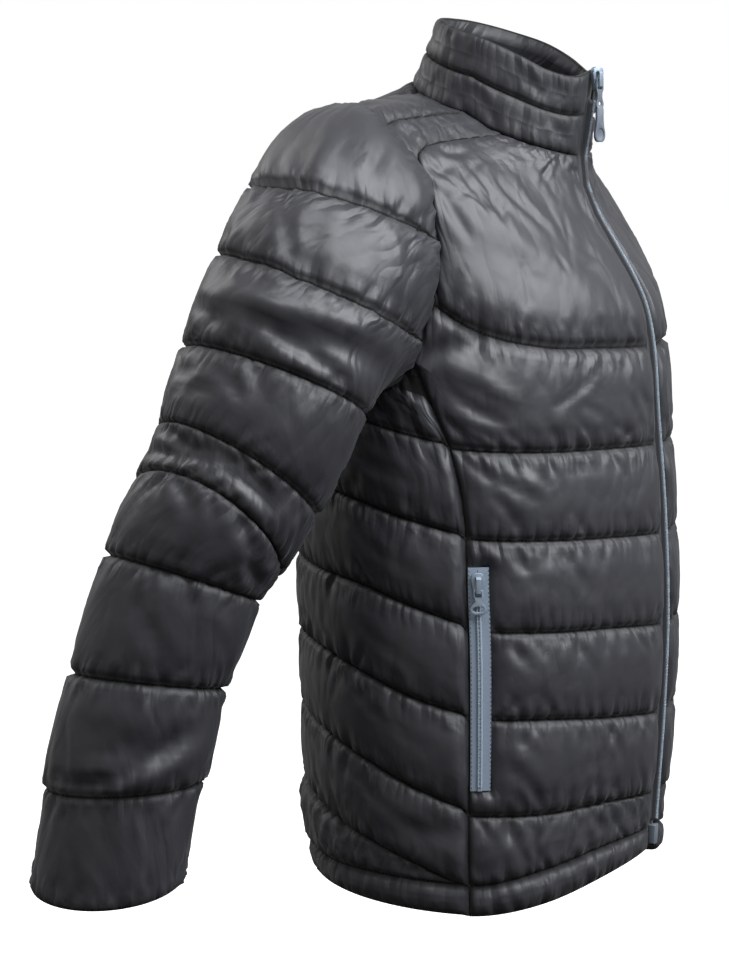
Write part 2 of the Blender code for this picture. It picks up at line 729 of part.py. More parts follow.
def sleeve_ring(turn, place):
    """Points round the arm: place 0 is the first whole ring and the last one is the cuff."""
    keys = np.arange(len(SLEEVE["x"]))
    ring = {name: spline(keys, SLEEVE[name], place) for name in ("half_depth", "half_width", "tilt", "slant")}
    centre_points = np.stack([SLEEVE["x"], SLEEVE["y"], SLEEVE["z"]], -1)
    centre = spline(keys, centre_points, place)
    along = unit(spline(keys, centre_points, place + 0.01) - spline(keys, centre_points, place - 0.01))
    forward = np.array((0.0, -1.0, 0.0))
    forward = unit(forward - (along @ forward)[..., None] * along)
    outward = unit(np.cross(along, forward))
    outer_share = -np.cos(np.radians(turn))
    points = centre + forward * (ring["half_depth"] * np.sin(np.radians(turn)))[..., None]
    points = points + outward * (ring["half_width"] * outer_share)[..., None]
    shift = ring["slant"] * outer_share - ring["tilt"] * np.sin(np.radians(turn))
    points = points + along * shift[..., None]
    return points, along, centre


def sleeve(turn, place):
    """Points of the sleeve: place 0 is the armhole, 1 the first whole ring."""
    turn, place = np.broadcast_arrays(np.asarray(turn, float), np.asarray(place, float))
    start = torso(*armhole(turn))
    end, _, _ = sleeve_ring(turn, np.maximum(place - 1, 0))
    first, along, centre = sleeve_ring(turn, np.zeros_like(place))
    length = np.linalg.norm(first - start, axis=-1, keepdims=True)
    share = np.clip(place, 0, 1)[..., None]
    leave = unit(np.array(SLEEVE_START)) * length * CAP_PULL
    arrive = along * length * CAP_PULL
    cap = (
        start * (1 + 2 * share) * (1 - share) ** 2
        + leave * share * (1 - share) ** 2
        + first * share**2 * (3 - 2 * share)
        - arrive * share**2 * (1 - share)
    )
    rise = spline(CAP_BULGE["turn"], CAP_BULGE["height"], turn % 360)
    outward = unit(unit(first - centre) + (0, 0, 1))
    cap = cap + outward * rise[..., None] * np.sin(np.pi * share**CAP_BULGE_SKEW)
    return np.where((place < 1)[..., None], cap, end)


def sleeve_normal(turn, place):
    turn = np.asarray(turn, float)
    place = np.asarray(place, float)
    around = sleeve(turn + 1, place) - sleeve(turn - 1, place)
    along = sleeve(turn, place + 0.02) - sleeve(turn, np.maximum(place - 0.02, 0))
    return unit(np.cross(around, along))


def cap_places(turn):
    """Where the two slanting quilt lines cross the sleeve head, as places from the armhole."""
    shares = np.linspace(0, 1, 101)
    path = sleeve(np.full_like(shares, turn), shares)
    found = [0.0]
    for line in CAP_LINES.values():
        beyond = (path - np.array(line["point"])) @ unit(np.array(line["normal"])) > 0
        found.append(float(shares[np.argmax(beyond)]) if beyond.any() else 1.0)
    return np.maximum.accumulate(found + [1.0])


# Padding.


def neck_thinning(levels):
    """The share of the padding that is left at each level: it thins from the chest to the neck."""
    low, high = CHEST_THINS
    return 1 - (1 - CHEST_PADDING) * np.clip((levels - low) / (high - low), 0, 1)


def underarm_fade(points):
    """Less padding where the sleeve and the body lie close together under the arm."""
    distance = np.linalg.norm(points - torso(*armhole(0.0)), axis=-1)
    return 1 - 0.8 * np.exp(-((distance / 0.06) ** 2))


def fold_lift(base, surface, folds):
    """Height of the hand-placed folds: each runs smoothly through three places of a surface."""
    lift = np.zeros(base.shape[:2])
    steps = np.linspace(0, 2, 17)
    for places in zip(*folds.values()):
        fold = dict(zip(folds, places))
        turns = spline((0, 1, 2), (fold["turn_1"], fold["turn_2"], fold["turn_3"]), steps)
        stops = spline((0, 1, 2), (fold["place_1"], fold["place_2"], fold["place_3"]), steps)
        path = surface(turns, stops)
        reach = np.sin(np.pi * steps / 2) ** 0.5
        distance = np.linalg.norm(base[:, :, None] - path, axis=-1) / fold["half_width"]
        lift += fold["height"] * (reach * np.exp(-(distance**2))).max(-1)
    return lift


# Cloth pieces. Each returns the points and faces of its wall.


def front_grid():
    """Angles and levels of a front, with each row's quilt place and armhole turn, if it has one."""
    edge = [(*seam_path(level), None) for level in SEAM_LEVELS[:-1]]
    edge += [(*arm_path(turn), turn) for turn in FRONT_ARM_TURNS]
    edge += [(*yoke_point(YOKE_FRONT_TURN, YOKE_FRONT_ANGLE, share), None) for share in YOKE_SHARES[1:]]
    places = [place_among(FRONT_LINES, angle, level) for angle, level, _ in edge]
    places[-1] = len(FRONT_NAMES)
    angles = np.zeros((len(edge), FRONT_COLUMNS + 2))
    levels = np.zeros_like(angles)
    for row, ((edge_angle, edge_level, _), place) in enumerate(zip(edge, places)):
        zip_side = float(zip_angle(level_at(FRONT_LINES, 2.0, place)))
        angles[row] = np.append(np.linspace(zip_side, edge_angle - TAPE_ANGLE, FRONT_COLUMNS + 1), edge_angle)
        levels[row] = [level_at(FRONT_LINES, angle, place) for angle in angles[row]]
        levels[row, -1] = edge_level
    return angles, levels, places, [turn for _, _, turn in edge]


def build_front():
    angles, levels, places, turns = front_grid()
    base = torso(angles, levels)
    normals = torso_normal(angles, levels)
    for row, turn in enumerate(turns):
        if turn is not None:
            normals[row, -1] = seam_direction(turn)
    normals[-1] = neck_direction(angles[-1])
    line_rows = [line_row(places, place) for place in range(len(FRONT_NAMES) + 1)]
    lift = channel_lift(base, line_rows, BODY_PUFF) * underarm_fade(base) * neck_thinning(levels)
    lift = np.maximum((lift + fold_lift(base, torso, FRONT_FOLDS)) * edge_fade(base), 0)
    first_flat = np.argmax(levels[:, -2] > POCKET_LOW) - 1
    last_flat = np.argmax(levels[:, -2] > POCKET_HIGH)
    lift[first_flat : last_flat + 1, -2] = 0
    corner = len(SEAM_LEVELS) - 1
    inner_rows = [row for row in span_ends(SEAM_SPANS) if row < corner] + list(range(corner, len(places)))
    return wall_mesh(base, normals, lift, grid_cells(*base.shape[:2]), inner_rows)


def back_half_grid():
    """Angles and levels of the back's right half, with the armhole turns of its edge points."""
    across = UNDER_COLUMNS + 1 + BACK_COLUMNS + 1
    angles = np.zeros((len(BACK_PLACES), across))
    levels = np.zeros_like(angles)
    turns = {}
    under = [arm_path(turn) for turn in UNDER_TURNS]
    under_angles = np.array([angle for angle, _ in under])
    under_places = [place_among(BACK_LINES, *point) for point in under]
    under_shares = (under_angles - under_angles[0]) / (under_angles[-1] - under_angles[0])
    armpit_angle = under_angles[-1]
    for row, place in enumerate(BACK_PLACES):
        seam_row = row if row <= len(HEM_BAND) else max(row - WEDGE_ROWS, len(HEM_BAND))
        seam_point = seam_path(SEAM_LEVELS[seam_row]) if row < CORNER_ROW else under[0]
        columns_here = seam_point[0] + (armpit_angle - seam_point[0]) * under_shares
        for column, angle in enumerate(columns_here):
            if place > under_places[column] - 1e-9:
                angles[row, column], levels[row, column] = under[column]
                turns[row, column] = UNDER_TURNS[column]
            else:
                angles[row, column] = angle
                levels[row, column] = seam_point[1] if column == 0 else level_at(BACK_LINES, angle, place)
        if row < ARMPIT_ROW:
            edge_point = (armpit_angle, level_at(BACK_LINES, armpit_angle, place))
        elif row <= YOKE_ROW:
            turn = 0.0 if row == ARMPIT_ROW else YOKE_BACK_TURN if row == YOKE_ROW else falling_turn(place)
            turns[row, UNDER_COLUMNS + 1] = turn
            edge_point = arm_path(turn)
        else:
            edge_point = yoke_point(YOKE_BACK_TURN, YOKE_BACK_ANGLE, YOKE_SHARES[row - YOKE_ROW])
        first = UNDER_COLUMNS + 1
        angles[row, first:] = np.linspace(edge_point[0], 180, BACK_COLUMNS + 1)
        levels[row, first:] = [level_at(BACK_LINES, angle, place) for angle in angles[row, first:]]
        levels[row, first] = edge_point[1]
    return angles, levels, turns


def both_halves(half, sign=1):
    """A grid of the back's right half joined to its mirror image."""
    return np.concatenate([half, (half * sign)[:, -2::-1]], axis=1)


def build_back():
    angles, levels, turns = back_half_grid()
    base = torso(angles, levels)
    normals = torso_normal(angles, levels)
    for place, turn in turns.items():
        normals[place] = seam_direction(turn)
    first = UNDER_COLUMNS + 1
    normals[-1, first:] = neck_direction(angles[-1, first:])
    line_rows = [line_row(BACK_PLACES, place) for place in range(len(BACK_NAMES) + 1)]
    lift = channel_lift(base, line_rows, BODY_PUFF) * underarm_fade(base) * neck_thinning(levels)
    lift = np.maximum(lift + fold_lift(base, torso, BACK_FOLDS), 0)
    for row in range(len(BACK_PLACES)):
        start = 0 if row <= ARMPIT_ROW else first
        lift[row, start:] *= rounded(arc_lengths(base[row, start:]) / SEAM_REACH)
    mirror = np.array((-1, 1, 1))
    lift = both_halves(lift)
    rows, across = lift.shape
    # The two columns at the armpit are one line of points below it and the armhole's two edges above.
    splits = (UNDER_COLUMNS, across - 2 - UNDER_COLUMNS)
    inner_rows = [row for row in span_ends(BACK_SPANS) if row < ARMPIT_ROW] + list(range(ARMPIT_ROW, rows))
    cells = grid_cells(rows, across, keep=lambda row, column: column not in splits)
    return wall_mesh(both_halves(base, mirror), both_halves(normals, mirror), lift, cells, inner_rows)


def build_yoke():
    points = [
        [yoke_point(turn, neck, share) for share in YOKE_SHARES]
        for turn, neck in zip(YOKE_TURNS, YOKE_NECK_ANGLES)
    ]
    angles, levels = np.moveaxis(np.array(points), -1, 0)
    base = torso(angles, levels)
    normals = torso_normal(angles, levels)
    for row, turn in enumerate(YOKE_TURNS):
        normals[row, 0] = seam_direction(turn)
    normals[:, -1] = neck_direction(angles[:, -1])
    ridge = len(YOKE_FRONT_SPAN)
    lift = channel_lift(base, [0, ridge, len(YOKE_TURNS) - 1], BODY_PUFF)
    lift = lift * edge_fade(base) * neck_thinning(levels)
    return wall_mesh(base, normals, lift, grid_cells(*base.shape[:2]), list(range(len(YOKE_TURNS))))


def sleeve_grid():
    """Turns and places of a sleeve, with the rows of its quilt lines."""
    # Every other piece's point on the armhole has its own column.
    back = [falling_turn(place) for place in BACK_PLACES[ARMPIT_ROW + 1 : YOKE_ROW]]
    turns = np.concatenate([UNDER_TURNS[:0:-1], FRONT_ARM_TURNS, YOKE_TURNS[1:], sorted(back)])
    rings = len(SLEEVE["x"])
    arm = subdivided(np.arange(1.0, rings + 1), (CHANNEL,) * (rings - 1))
    places = [np.concatenate([subdivided(cap_places(turn), (CAP_CHANNEL,) * 3)[:-1], arm]) for turn in turns]
    places = np.array(places).T
    line_rows = span_ends((CAP_CHANNEL,) * 3 + (CHANNEL,) * (rings - 1))
    return np.broadcast_to(turns, places.shape), places, line_rows


def build_sleeve():
    turns, places, line_rows = sleeve_grid()
    base = sleeve(turns, places)
    normals = sleeve_normal(turns, places)
    for row, column in zip(*np.nonzero(places < 1e-6)):
        normals[row, column] = seam_direction(turns[row, column])
    lift = channel_lift(base, line_rows, SLEEVE_PUFF) * underarm_fade(base)
    lift[line_rows[-2] :] *= CUFF_PUFF / SLEEVE_PUFF
    lift = np.maximum(lift + fold_lift(base, sleeve, SLEEVE_FOLDS), 0)
    lift[[0, -1]] = 0
    cells = [(row, right, left) for row, left, right in grid_cells(*base.shape[:2], wrap=True)]
    return wall_mesh(base, normals, lift, cells, line_rows)


def build_collar():
    front_angles = front_grid()[0][-1]
    back_angles = np.linspace(YOKE_BACK_ANGLE, 180, BACK_COLUMNS + 1)[1:]
    half = np.concatenate([front_angles, YOKE_NECK_ANGLES[1:], back_angles])
    spans = (COLLAR_CHANNEL, COLLAR_CHANNEL)
    shares = subdivided([0, COLLAR_LINE, 1.0], spans)
    angles, shares = np.meshgrid(np.append(half, 360 - half[-2::-1]), shares)
    base = collar_surface(angles, shares)
    normals = collar_normal(angles, shares)
    normals[0] = neck_direction(angles[0])
    lift = channel_lift(base, span_ends(spans), COLLAR_PUFF) * edge_fade(base)
    return wall_mesh(base, normals, lift, grid_cells(*base.shape[:2]), span_ends(spans))


# Zips. Each is one strip: a flat tape with the raised coil along its middle.


def strip_lift(heights, coil):
    """Lift of a strip's rows and columns above WALL: the tape's, and the coil's where it runs."""
    flat = np.minimum(heights, ZIP_TAPE)
    return flat + (heights - flat) * coil[:, None] - WALL


def coil_rows(rows, bare_low, bare_high):
    """1 for each row of a strip that carries the coil and 0 for its bare rows at both ends."""
    coil = np.ones(rows)
    coil[:bare_low] = 0
    coil[rows - bare_high :] = 0
    return coil


def build_front_zip():
    section = FRONT_ZIP_SECTION
    hem = FRONT_LINES["hem edge"][0]
    levels = subdivided(
        (hem, hem + BOX_LENGTH, hem + BOX_LENGTH + COIL_END, -0.20, 0.0), (WHOLE, WHOLE, steps(20), steps(12))
    )
    bare = 1 - FRONT_SLIDER_LENGTH / COLLAR_FRONT_HEIGHT
    coil_top = bare - COIL_END / COLLAR_FRONT_HEIGHT
    shares = subdivided((0.0, coil_top, bare, 1.0), (steps(3), WHOLE, steps(2)))[1:]
    body_angles = zip_angle(levels)[:, None] * section["across"]
    neck_angles = zip_angle(0.0) * section["across"] + 0 * shares[:, None]
    levels = levels[:, None] + 0 * body_angles
    shares = shares[:, None] + 0 * neck_angles
    base = np.concatenate([torso(body_angles, levels), collar_surface(neck_angles, shares)])
    normals = np.concatenate([torso_normal(body_angles, levels), collar_normal(neck_angles, shares)])
    normals[len(levels) - 1] = neck_direction(body_angles[-1])
    coil = coil_rows(len(base), 2, 3)
    lift = strip_lift(section["height"], coil)
    cells = [(row, right, left) for row, left, right in grid_cells(*base.shape[:2])]
    return wall_mesh(base, normals, lift, cells, list(range(len(base))))


def pocket_place(share_across, level):
    """A point of the pocket tape: share 0 is beside the side-front seam, 1 its front edge."""
    angle = spline(SIDE_SEAM["level"], SIDE_SEAM["angle"], level) - TAPE_START
    return angle - (TAPE_ANGLE - TAPE_END - TAPE_START) * share_across, level


def build_pocket_zip():
    section = POCKET_ZIP_SECTION
    bare = POCKET_HIGH - POCKET_SLIDER_LENGTH
    levels = subdivided((POCKET_LOW, bare - COIL_END, bare, POCKET_HIGH), (steps(10), WHOLE, steps(2)))
    angles, levels = np.broadcast_arrays(*pocket_place(section["across"], levels[:, None]))
    base = torso(angles, levels)
    normals = torso_normal(angles, levels)
    rise = WALL + POCKET_GAP
    lift = strip_lift(section["height"], coil_rows(len(base), 0, 3)) + rise
    cells = [(row, right, left) for row, left, right in grid_cells(*base.shape[:2])]
    return wall_mesh(base, normals, lift, cells, list(range(len(base))), inner_drop=-rise)


# Hard pieces. Each is modelled in its own frame, as across, up and out.


def prism(outline, low, high):
    """A closed solid between two heights over an outline."""
    count = len(outline)
    points = np.concatenate([np.column_stack([outline, np.full(count, height)]) for height in (low, high)])
    corner = np.arange(count)
    after = (corner + 1) % count
    sides = np.column_stack([corner, after, after + count, corner + count])
    return points, [list(corner[::-1]), list(corner + count)] + [list(side) for side in sides]


def both_sides(half):
    """A whole outline from its right half, which is listed upwards."""
    return np.concatenate([half, half[::-1] * (-1, 1)])


def oval(middle, half_across, half_up, count=16):
    turn = np.arange(count) * 2 * np.pi / count
    return np.column_stack([half_across * np.cos(turn), middle + half_up * np.sin(turn)])


def combined(operation, first, second):
    """The exact union or difference of two closed solids."""
    things = []
    for points, faces in (first, second):
        mesh = bpy.data.meshes.new("blank")
        corners = [[int(corner) for corner in face] for face in faces]
        mesh.from_pydata([tuple(point) for point in points], [], corners)
        things.append(bpy.data.objects.new("blank", mesh))
        bpy.context.scene.collection.objects.link(things[-1])
    cut = things[0].modifiers.new("cut", "BOOLEAN")
    cut.solver = "EXACT"
    cut.operation = operation
    cut.object = things[1]
    shape = things[0].evaluated_get(bpy.context.evaluated_depsgraph_get()).to_mesh()
    points = np.array([tuple(vert.co) for vert in shape.vertices])
    faces = [list(face.vertices) for face in shape.polygons]
    for thing in things:
        bpy.data.objects.remove(thing)
    return points, faces


def placed(shape, frame):
    """A hard piece moved into a frame of an origin with its directions across, up and out."""
    points, faces = shape
    return frame["origin"] + points @ np.array([frame["across"], frame["up"], frame["out"]]), faces


def slider(plate):
    """A slider's body with the arch that its pull hangs from."""
    body = prism(both_sides(SLIDER_HALF), SLIDER_GAP, plate)
    arch_side, arch_faces = prism(ARCH_SIDE + (0, plate), -ARCH_HALF_WIDTH, ARCH_HALF_WIDTH)
    return combined("UNION", body, (arch_side[:, [2, 0, 1]], arch_faces))


def pocket_pull():
    blank = prism(both_sides(POCKET_PULL_HALF), -PULL_THICKNESS / 2, PULL_THICKNESS / 2)
    eye = prism(both_sides(POCKET_PULL_EYE), -PULL_THICKNESS, PULL_THICKNESS)
    ring = prism(oval(**POCKET_PULL_RING), -PULL_THICKNESS, PULL_THICKNESS)
    return combined("DIFFERENCE", combined("DIFFERENCE", blank, eye), ring)


def front_pull():
    link = prism(both_sides(FRONT_LINK_HALF), -PULL_THICKNESS / 2, PULL_THICKNESS / 2)
    link = combined("DIFFERENCE", link, prism(both_sides(FRONT_LINK_EYE), -PULL_THICKNESS, PULL_THICKNESS))
    link = combined("DIFFERENCE", link, prism(oval(**FRONT_LINK_HOLE), -PULL_THICKNESS, PULL_THICKNESS))
    tab = prism(both_sides(FRONT_TAB_HALF), -TAB_THICKNESS / 2, TAB_THICKNESS / 2)
    recess = prism(oval(**FRONT_TAB_RECESS), TAB_THICKNESS / 2 - TAB_RECESS_DEPTH, TAB_THICKNESS)
    return combined("UNION", link, combined("DIFFERENCE", tab, recess))


def front_box():
    return prism(both_sides(BOX_HALF), SLIDER_GAP, BOX_HEIGHT)


def frame_at(origin, up, out):
    """A frame with its up kept and its out turned square to it."""
    up = unit(np.array(up, float))
    out = unit(out - (out @ up) * up)
    return {"origin": origin, "across": np.cross(up, out), "up": up, "out": out}


def moved_frame(frame, up, out):
    return {**frame, "origin": frame["origin"] + up * frame["up"] + out * frame["out"]}


def front_slider_frame():
    """The slider stands upright on the collar's front, turned as the soft tape's end lets it."""
    turn = np.radians(FRONT_SLIDER_TURN)
    origin = np.array((0.0, COLLAR_TOP["y"][0] - ZIP_TAPE - FRONT_SLIDER_STAND, FRONT_SLIDER_HEIGHT))
    return frame_at(origin, (0, 0, 1), np.array((-np.sin(turn), -np.cos(turn), 0)))


def box_frame():
    level = FRONT_LINES["hem edge"][0] + BOX_LENGTH / 2
    up = torso(0.0, level + 0.01) - torso(0.0, level - 0.01)
    out = torso_normal(0.0, level)
    return frame_at(torso(0.0, level) + out * ZIP_TAPE, up, out)


def pocket_slider_frame():
    """The slider stands upright, so that its pull hangs straight down."""
    angle, level = pocket_place(POCKET_COIL_SHARE, POCKET_HIGH - POCKET_SLIDER_DROP)
    out = torso_normal(angle, level)
    return frame_at(torso(angle, level) + out * (WALL + POCKET_GAP + ZIP_TAPE), (0, 0, 1), out)


def front_hinge_frame():
    return moved_frame(front_slider_frame(), 0.0, FRONT_PLATE + HINGE_OVER_PLATE)


def pocket_hinge_frame():
    return moved_frame(pocket_slider_frame(), -POCKET_HINGE_DROP, POCKET_PLATE + HINGE_OVER_PLATE)


def main():
    for thing in list(bpy.data.objects):
        bpy.data.objects.remove(thing)
    nylon = material("charcoal nylon", (0.045, 0.046, 0.052), 0.38)
    tape = material("blue-grey tape and coil", (0.30, 0.36, 0.43), 0.55)
    metal = material("blue-grey lacquered metal", (0.42, 0.48, 0.55), 0.35, 0.4)
    rubber = material("pale blue-grey moulding", (0.50, 0.56, 0.63), 0.45)
    # Each piece with its material, once or for both sides of the body.
    pieces = (
        ("front", build_front(), nylon, True),
        ("back", build_back(), nylon, False),
        ("shoulder", build_yoke(), nylon, True),
        ("sleeve", build_sleeve(), nylon, True),
        ("collar", build_collar(), nylon, False),
        ("front_zip", build_front_zip(), tape, False),
        ("front_zip_slider", placed(slider(FRONT_PLATE), front_slider_frame()), metal, False),
        ("front_zip_pull", placed(front_pull(), front_hinge_frame()), rubber, False),
        ("front_zip_box", placed(front_box(), box_frame()), rubber, False),
        ("pocket_zip", build_pocket_zip(), tape, True),
        ("pocket_slider", placed(slider(POCKET_PLATE), pocket_slider_frame()), metal, True),
        ("pocket_pull", placed(pocket_pull(), pocket_hinge_frame()), metal, True),
    )
    for name, (points, faces), substance, both in pieces:
        if both:
            add_object(name + "_right", points, faces, substance)
            add_object(name + "_left", *mirrored(points, faces), substance)
        else:
            add_object(name, points, faces, substance)


main()
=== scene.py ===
"""The finished look of a puffer jacket that stands filled out with no wearer.

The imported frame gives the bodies, the joints and the hard pieces. Each cut panel is made again here as
a padded shell on the same surfaces: its quilting, its folds and its many small puckers are in the mesh,
a cloth simulation settles it between its seams, and the stitches and the zips' coils are laid by
Geometry Nodes.

Metres, +Z up. The jacket faces -Y and the wearer's right is -X.
"""

import bmesh
import bpy
import numpy as np
from mathutils import Matrix, Vector


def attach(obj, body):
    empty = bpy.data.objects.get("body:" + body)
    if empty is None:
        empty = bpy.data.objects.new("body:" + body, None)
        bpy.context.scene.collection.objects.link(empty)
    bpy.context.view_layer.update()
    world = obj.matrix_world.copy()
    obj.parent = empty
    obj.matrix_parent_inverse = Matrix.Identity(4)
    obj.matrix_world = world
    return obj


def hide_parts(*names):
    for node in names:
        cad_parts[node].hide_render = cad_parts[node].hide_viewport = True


# Padding and seams.
WALL = 0.003
HALF_GAP = 0.0002
TAPE_ANGLE = 6.9
POCKET_LOW = -0.551
POCKET_HIGH = -0.365
POCKET_BLEND = 0.012
BODY_PUFF = 0.010
SLEEVE_PUFF = 0.009
COLLAR_PUFF = 0.007
CUFF_PUFF = 0.004
PUFF_REACH = 0.032
SEAM_REACH = 0.024
ZIP_HALF_OPENING = 0.0076
PROW = 0.011
PROW_ANGLE = 17.0
BACK_BLEND = 1.4
CHEST_PADDING = 0.45
CHEST_THINS = (-0.15, -0.03)
UNDERARM_THINNING = 0.8
UNDERARM_REACH = 0.06


def columns(names, rows):
    """A table as one array for each named column."""
    return dict(zip(names.split(), np.array(rows, float).T))


# The torso's rings, as the solids have them.
TORSO = columns("level z_side z_front z_back half_width y_side y_front y_back prow point blend", [
    (-0.680, -0.680, -0.680, -0.680, 0.187, 0.000, -0.134, 0.137, 1.0, 1.00, 1.4),
    (-0.600, -0.600, -0.600, -0.600, 0.192, 0.000, -0.138, 0.141, 1.0, 1.00, 1.4),
    (-0.500, -0.500, -0.500, -0.500, 0.196, 0.000, -0.145, 0.144, 1.0, 1.00, 1.4),
    (-0.420, -0.420, -0.420, -0.420, 0.198, 0.000, -0.148, 0.146, 1.0, 1.00, 1.4),
    (-0.330, -0.330, -0.330, -0.330, 0.199, 0.002, -0.145, 0.148, 1.0, 1.00, 1.4),
    (-0.250, -0.250, -0.250, -0.250, 0.200, 0.004, -0.141, 0.148, 0.8, 1.00, 1.4),
    (-0.190, -0.190, -0.193, -0.190, 0.201, 0.009, -0.138, 0.147, 0.7, 1.00, 1.4),
    (-0.145, -0.145, -0.162, -0.142, 0.202, 0.018, -0.132, 0.145, 0.7, 1.03, 1.4),
    (-0.095, -0.090, -0.134, -0.088, 0.205, 0.033, -0.121, 0.139, 0.6, 1.10, 1.4),
    (-0.055, -0.034, -0.107, -0.030, 0.206, 0.043, -0.107, 0.127, 0.4, 1.20, 1.4),
    (-0.030, 0.001, -0.078, 0.002, 0.186, 0.041, -0.092, 0.109, 0.2, 1.30, 1.3),
    (-0.012, 0.004, -0.050, 0.017, 0.128, 0.014, -0.084, 0.083, 0.0, 1.25, 1.0),
    (0.000, 0.003, -0.030, 0.031, 0.074, -0.013, -0.083, 0.060, 0.0, 1.00, 0.7),
])
ARMHOLE = columns("turn angle level", [
    (0, 99, -0.218), (30, 87.5, -0.208), (50, 80.5, -0.189), (70, 73, -0.148), (90, 65.5, -0.102),
    (110, 62, -0.069), (130, 61.5, -0.045), (150, 70, -0.032), (170, 87, -0.026),
    (190, 108, -0.023), (210, 125, -0.030), (230, 130, -0.054), (250, 127, -0.088),
    (280, 123, -0.135), (320, 114, -0.190), (360, 99, -0.218),
])
CORNER_TURN = 46.0
YOKE_FRONT_TURN = 132.0
YOKE_RIDGE_TURN = 160.0
YOKE_BACK_TURN = 222.0
CHEST_TURN_LIMIT = 120.0
YOKE_FRONT_ANGLE = 66.0
YOKE_RIDGE_ANGLE = 93.0
YOKE_BACK_ANGLE = 138.0
SIDE_SEAM = columns(
    "level angle",
    [(-0.68, 67), (-0.40, 68), (-0.30, 69), (-0.26, 72.5), (-0.22, 78), (-0.19, 81.5), (-0.15, 85)],
)
FRONT_LINES = {
    "angle": (0, 22, 42, 62, 86),
    "hem edge": (-0.621, -0.639, -0.652, -0.658, -0.652),
    "hem line": (-0.602, -0.611, -0.622, -0.631, -0.626),
    "hip": (-0.574, -0.573, -0.575, -0.573, -0.568),
    "low waist": (-0.504, -0.500, -0.495, -0.492, -0.486),
    "waist": (-0.428, -0.424, -0.422, -0.419, -0.414),
    "rib": (-0.350, -0.348, -0.346, -0.343, -0.336),
    "breast": (-0.275, -0.274, -0.273, -0.270, -0.262),
    "chest": (-0.188, -0.186, -0.183, -0.166, -0.106),
}
BACK_LINES = {
    "angle": (62, 86, 101, 120, 150, 180),
    "hem edge": (-0.658, -0.652, -0.648, -0.643, -0.636, -0.634),
    "hem line": (-0.631, -0.626, -0.623, -0.621, -0.616, -0.614),
    "slant": (-0.640, -0.611, -0.596, -0.579, -0.560, -0.552),
    "hip": (-0.573, -0.547, -0.529, -0.511, -0.494, -0.488),
    "low waist": (-0.492, -0.472, -0.456, -0.441, -0.432, -0.428),
    "waist": (-0.419, -0.396, -0.382, -0.374, -0.368, -0.364),
    "rib": (-0.343, -0.325, -0.313, -0.303, -0.295, -0.291),
    "breast": (-0.270, -0.255, -0.245, -0.236, -0.226, -0.222),
    "chest": (-0.223, -0.204, -0.196, -0.186, -0.166, -0.158),
    "blade": (-0.150, -0.146, -0.140, -0.130, -0.108, -0.100),
}
SLEEVE = columns("x y z half_depth half_width tilt slant", [
    (-0.284, 0.070, -0.208, 0.075, 0.066, 0.003, -0.001),
    (-0.309, 0.092, -0.279, 0.068, 0.063, -0.002, -0.014),
    (-0.322, 0.112, -0.324, 0.064, 0.061, 0.006, -0.032),
    (-0.330, 0.131, -0.366, 0.059, 0.058, 0.008, -0.006),
    (-0.343, 0.157, -0.449, 0.056, 0.055, 0.012, 0.000),
    (-0.352, 0.175, -0.533, 0.058, 0.055, 0.014, 0.007),
    (-0.357, 0.188, -0.612, 0.058, 0.055, 0.007, 0.018),
])
SLEEVE_START = (-0.9, 0.05, -0.42)
CAP_PULL = 0.85
CAP_BULGE = columns("turn height", [
    (0, 0.0), (60, 0.0), (110, 0.004), (150, 0.012), (190, 0.018), (230, 0.016), (280, 0.008),
    (330, 0.0), (360, 0.0),
])
CAP_BULGE_SKEW = 0.7
CAP_LINES = {
    "upper": {"point": (-0.232, 0.034, -0.073), "normal": (-0.30, 0.16, -0.94)},
    "lower": {"point": (-0.262, 0.038, -0.140), "normal": (-0.28, 0.30, -0.91)},
}
COLLAR_TOP = columns("angle half_width y z", [
    (0, 0.066, -0.0945, 0.043),
    (25, 0.066, -0.087, 0.037),
    (45, 0.066, -0.070, 0.043),
    (60, 0.066, -0.054, 0.053),
    (80, 0.066, -0.031, 0.065),
    (110, 0.066, 0.002, 0.077),
    (145, 0.066, 0.026, 0.085),
    (180, 0.066, 0.035, 0.087),
])
COLLAR_LINE = 0.50

# The folds, each through three places of a surface, with its half width and its height.
FOLD_COLUMNS = "turn_1 place_1 turn_2 place_2 turn_3 place_3 half_width height"
FRONT_FOLDS = columns(FOLD_COLUMNS, [
    (80, -0.189, 69, -0.185, 57, -0.177, 0.011, -0.006),
    (52, -0.040, 38, -0.075, 19, -0.131, 0.016, 0.003),
])
BACK_FOLDS = columns(FOLD_COLUMNS, [(90, -0.583, 79, -0.586, 68, -0.584, 0.011, -0.005)])
SLEEVE_FOLDS = columns(FOLD_COLUMNS, [
    (162, 0.89, 128, 0.85, 74, 0.72, 0.012, -0.007),
    (200, 0.84, 149, 0.76, 95, 0.61, 0.014, 0.003),
    (208, 2.64, 162, 2.35, 101, 2.17, 0.012, -0.006),
    (176, 5.82, 138, 5.80, 95, 5.52, 0.011, 0.003),
    (176, 5.62, 139, 5.60, 108, 5.42, 0.012, -0.005),
])

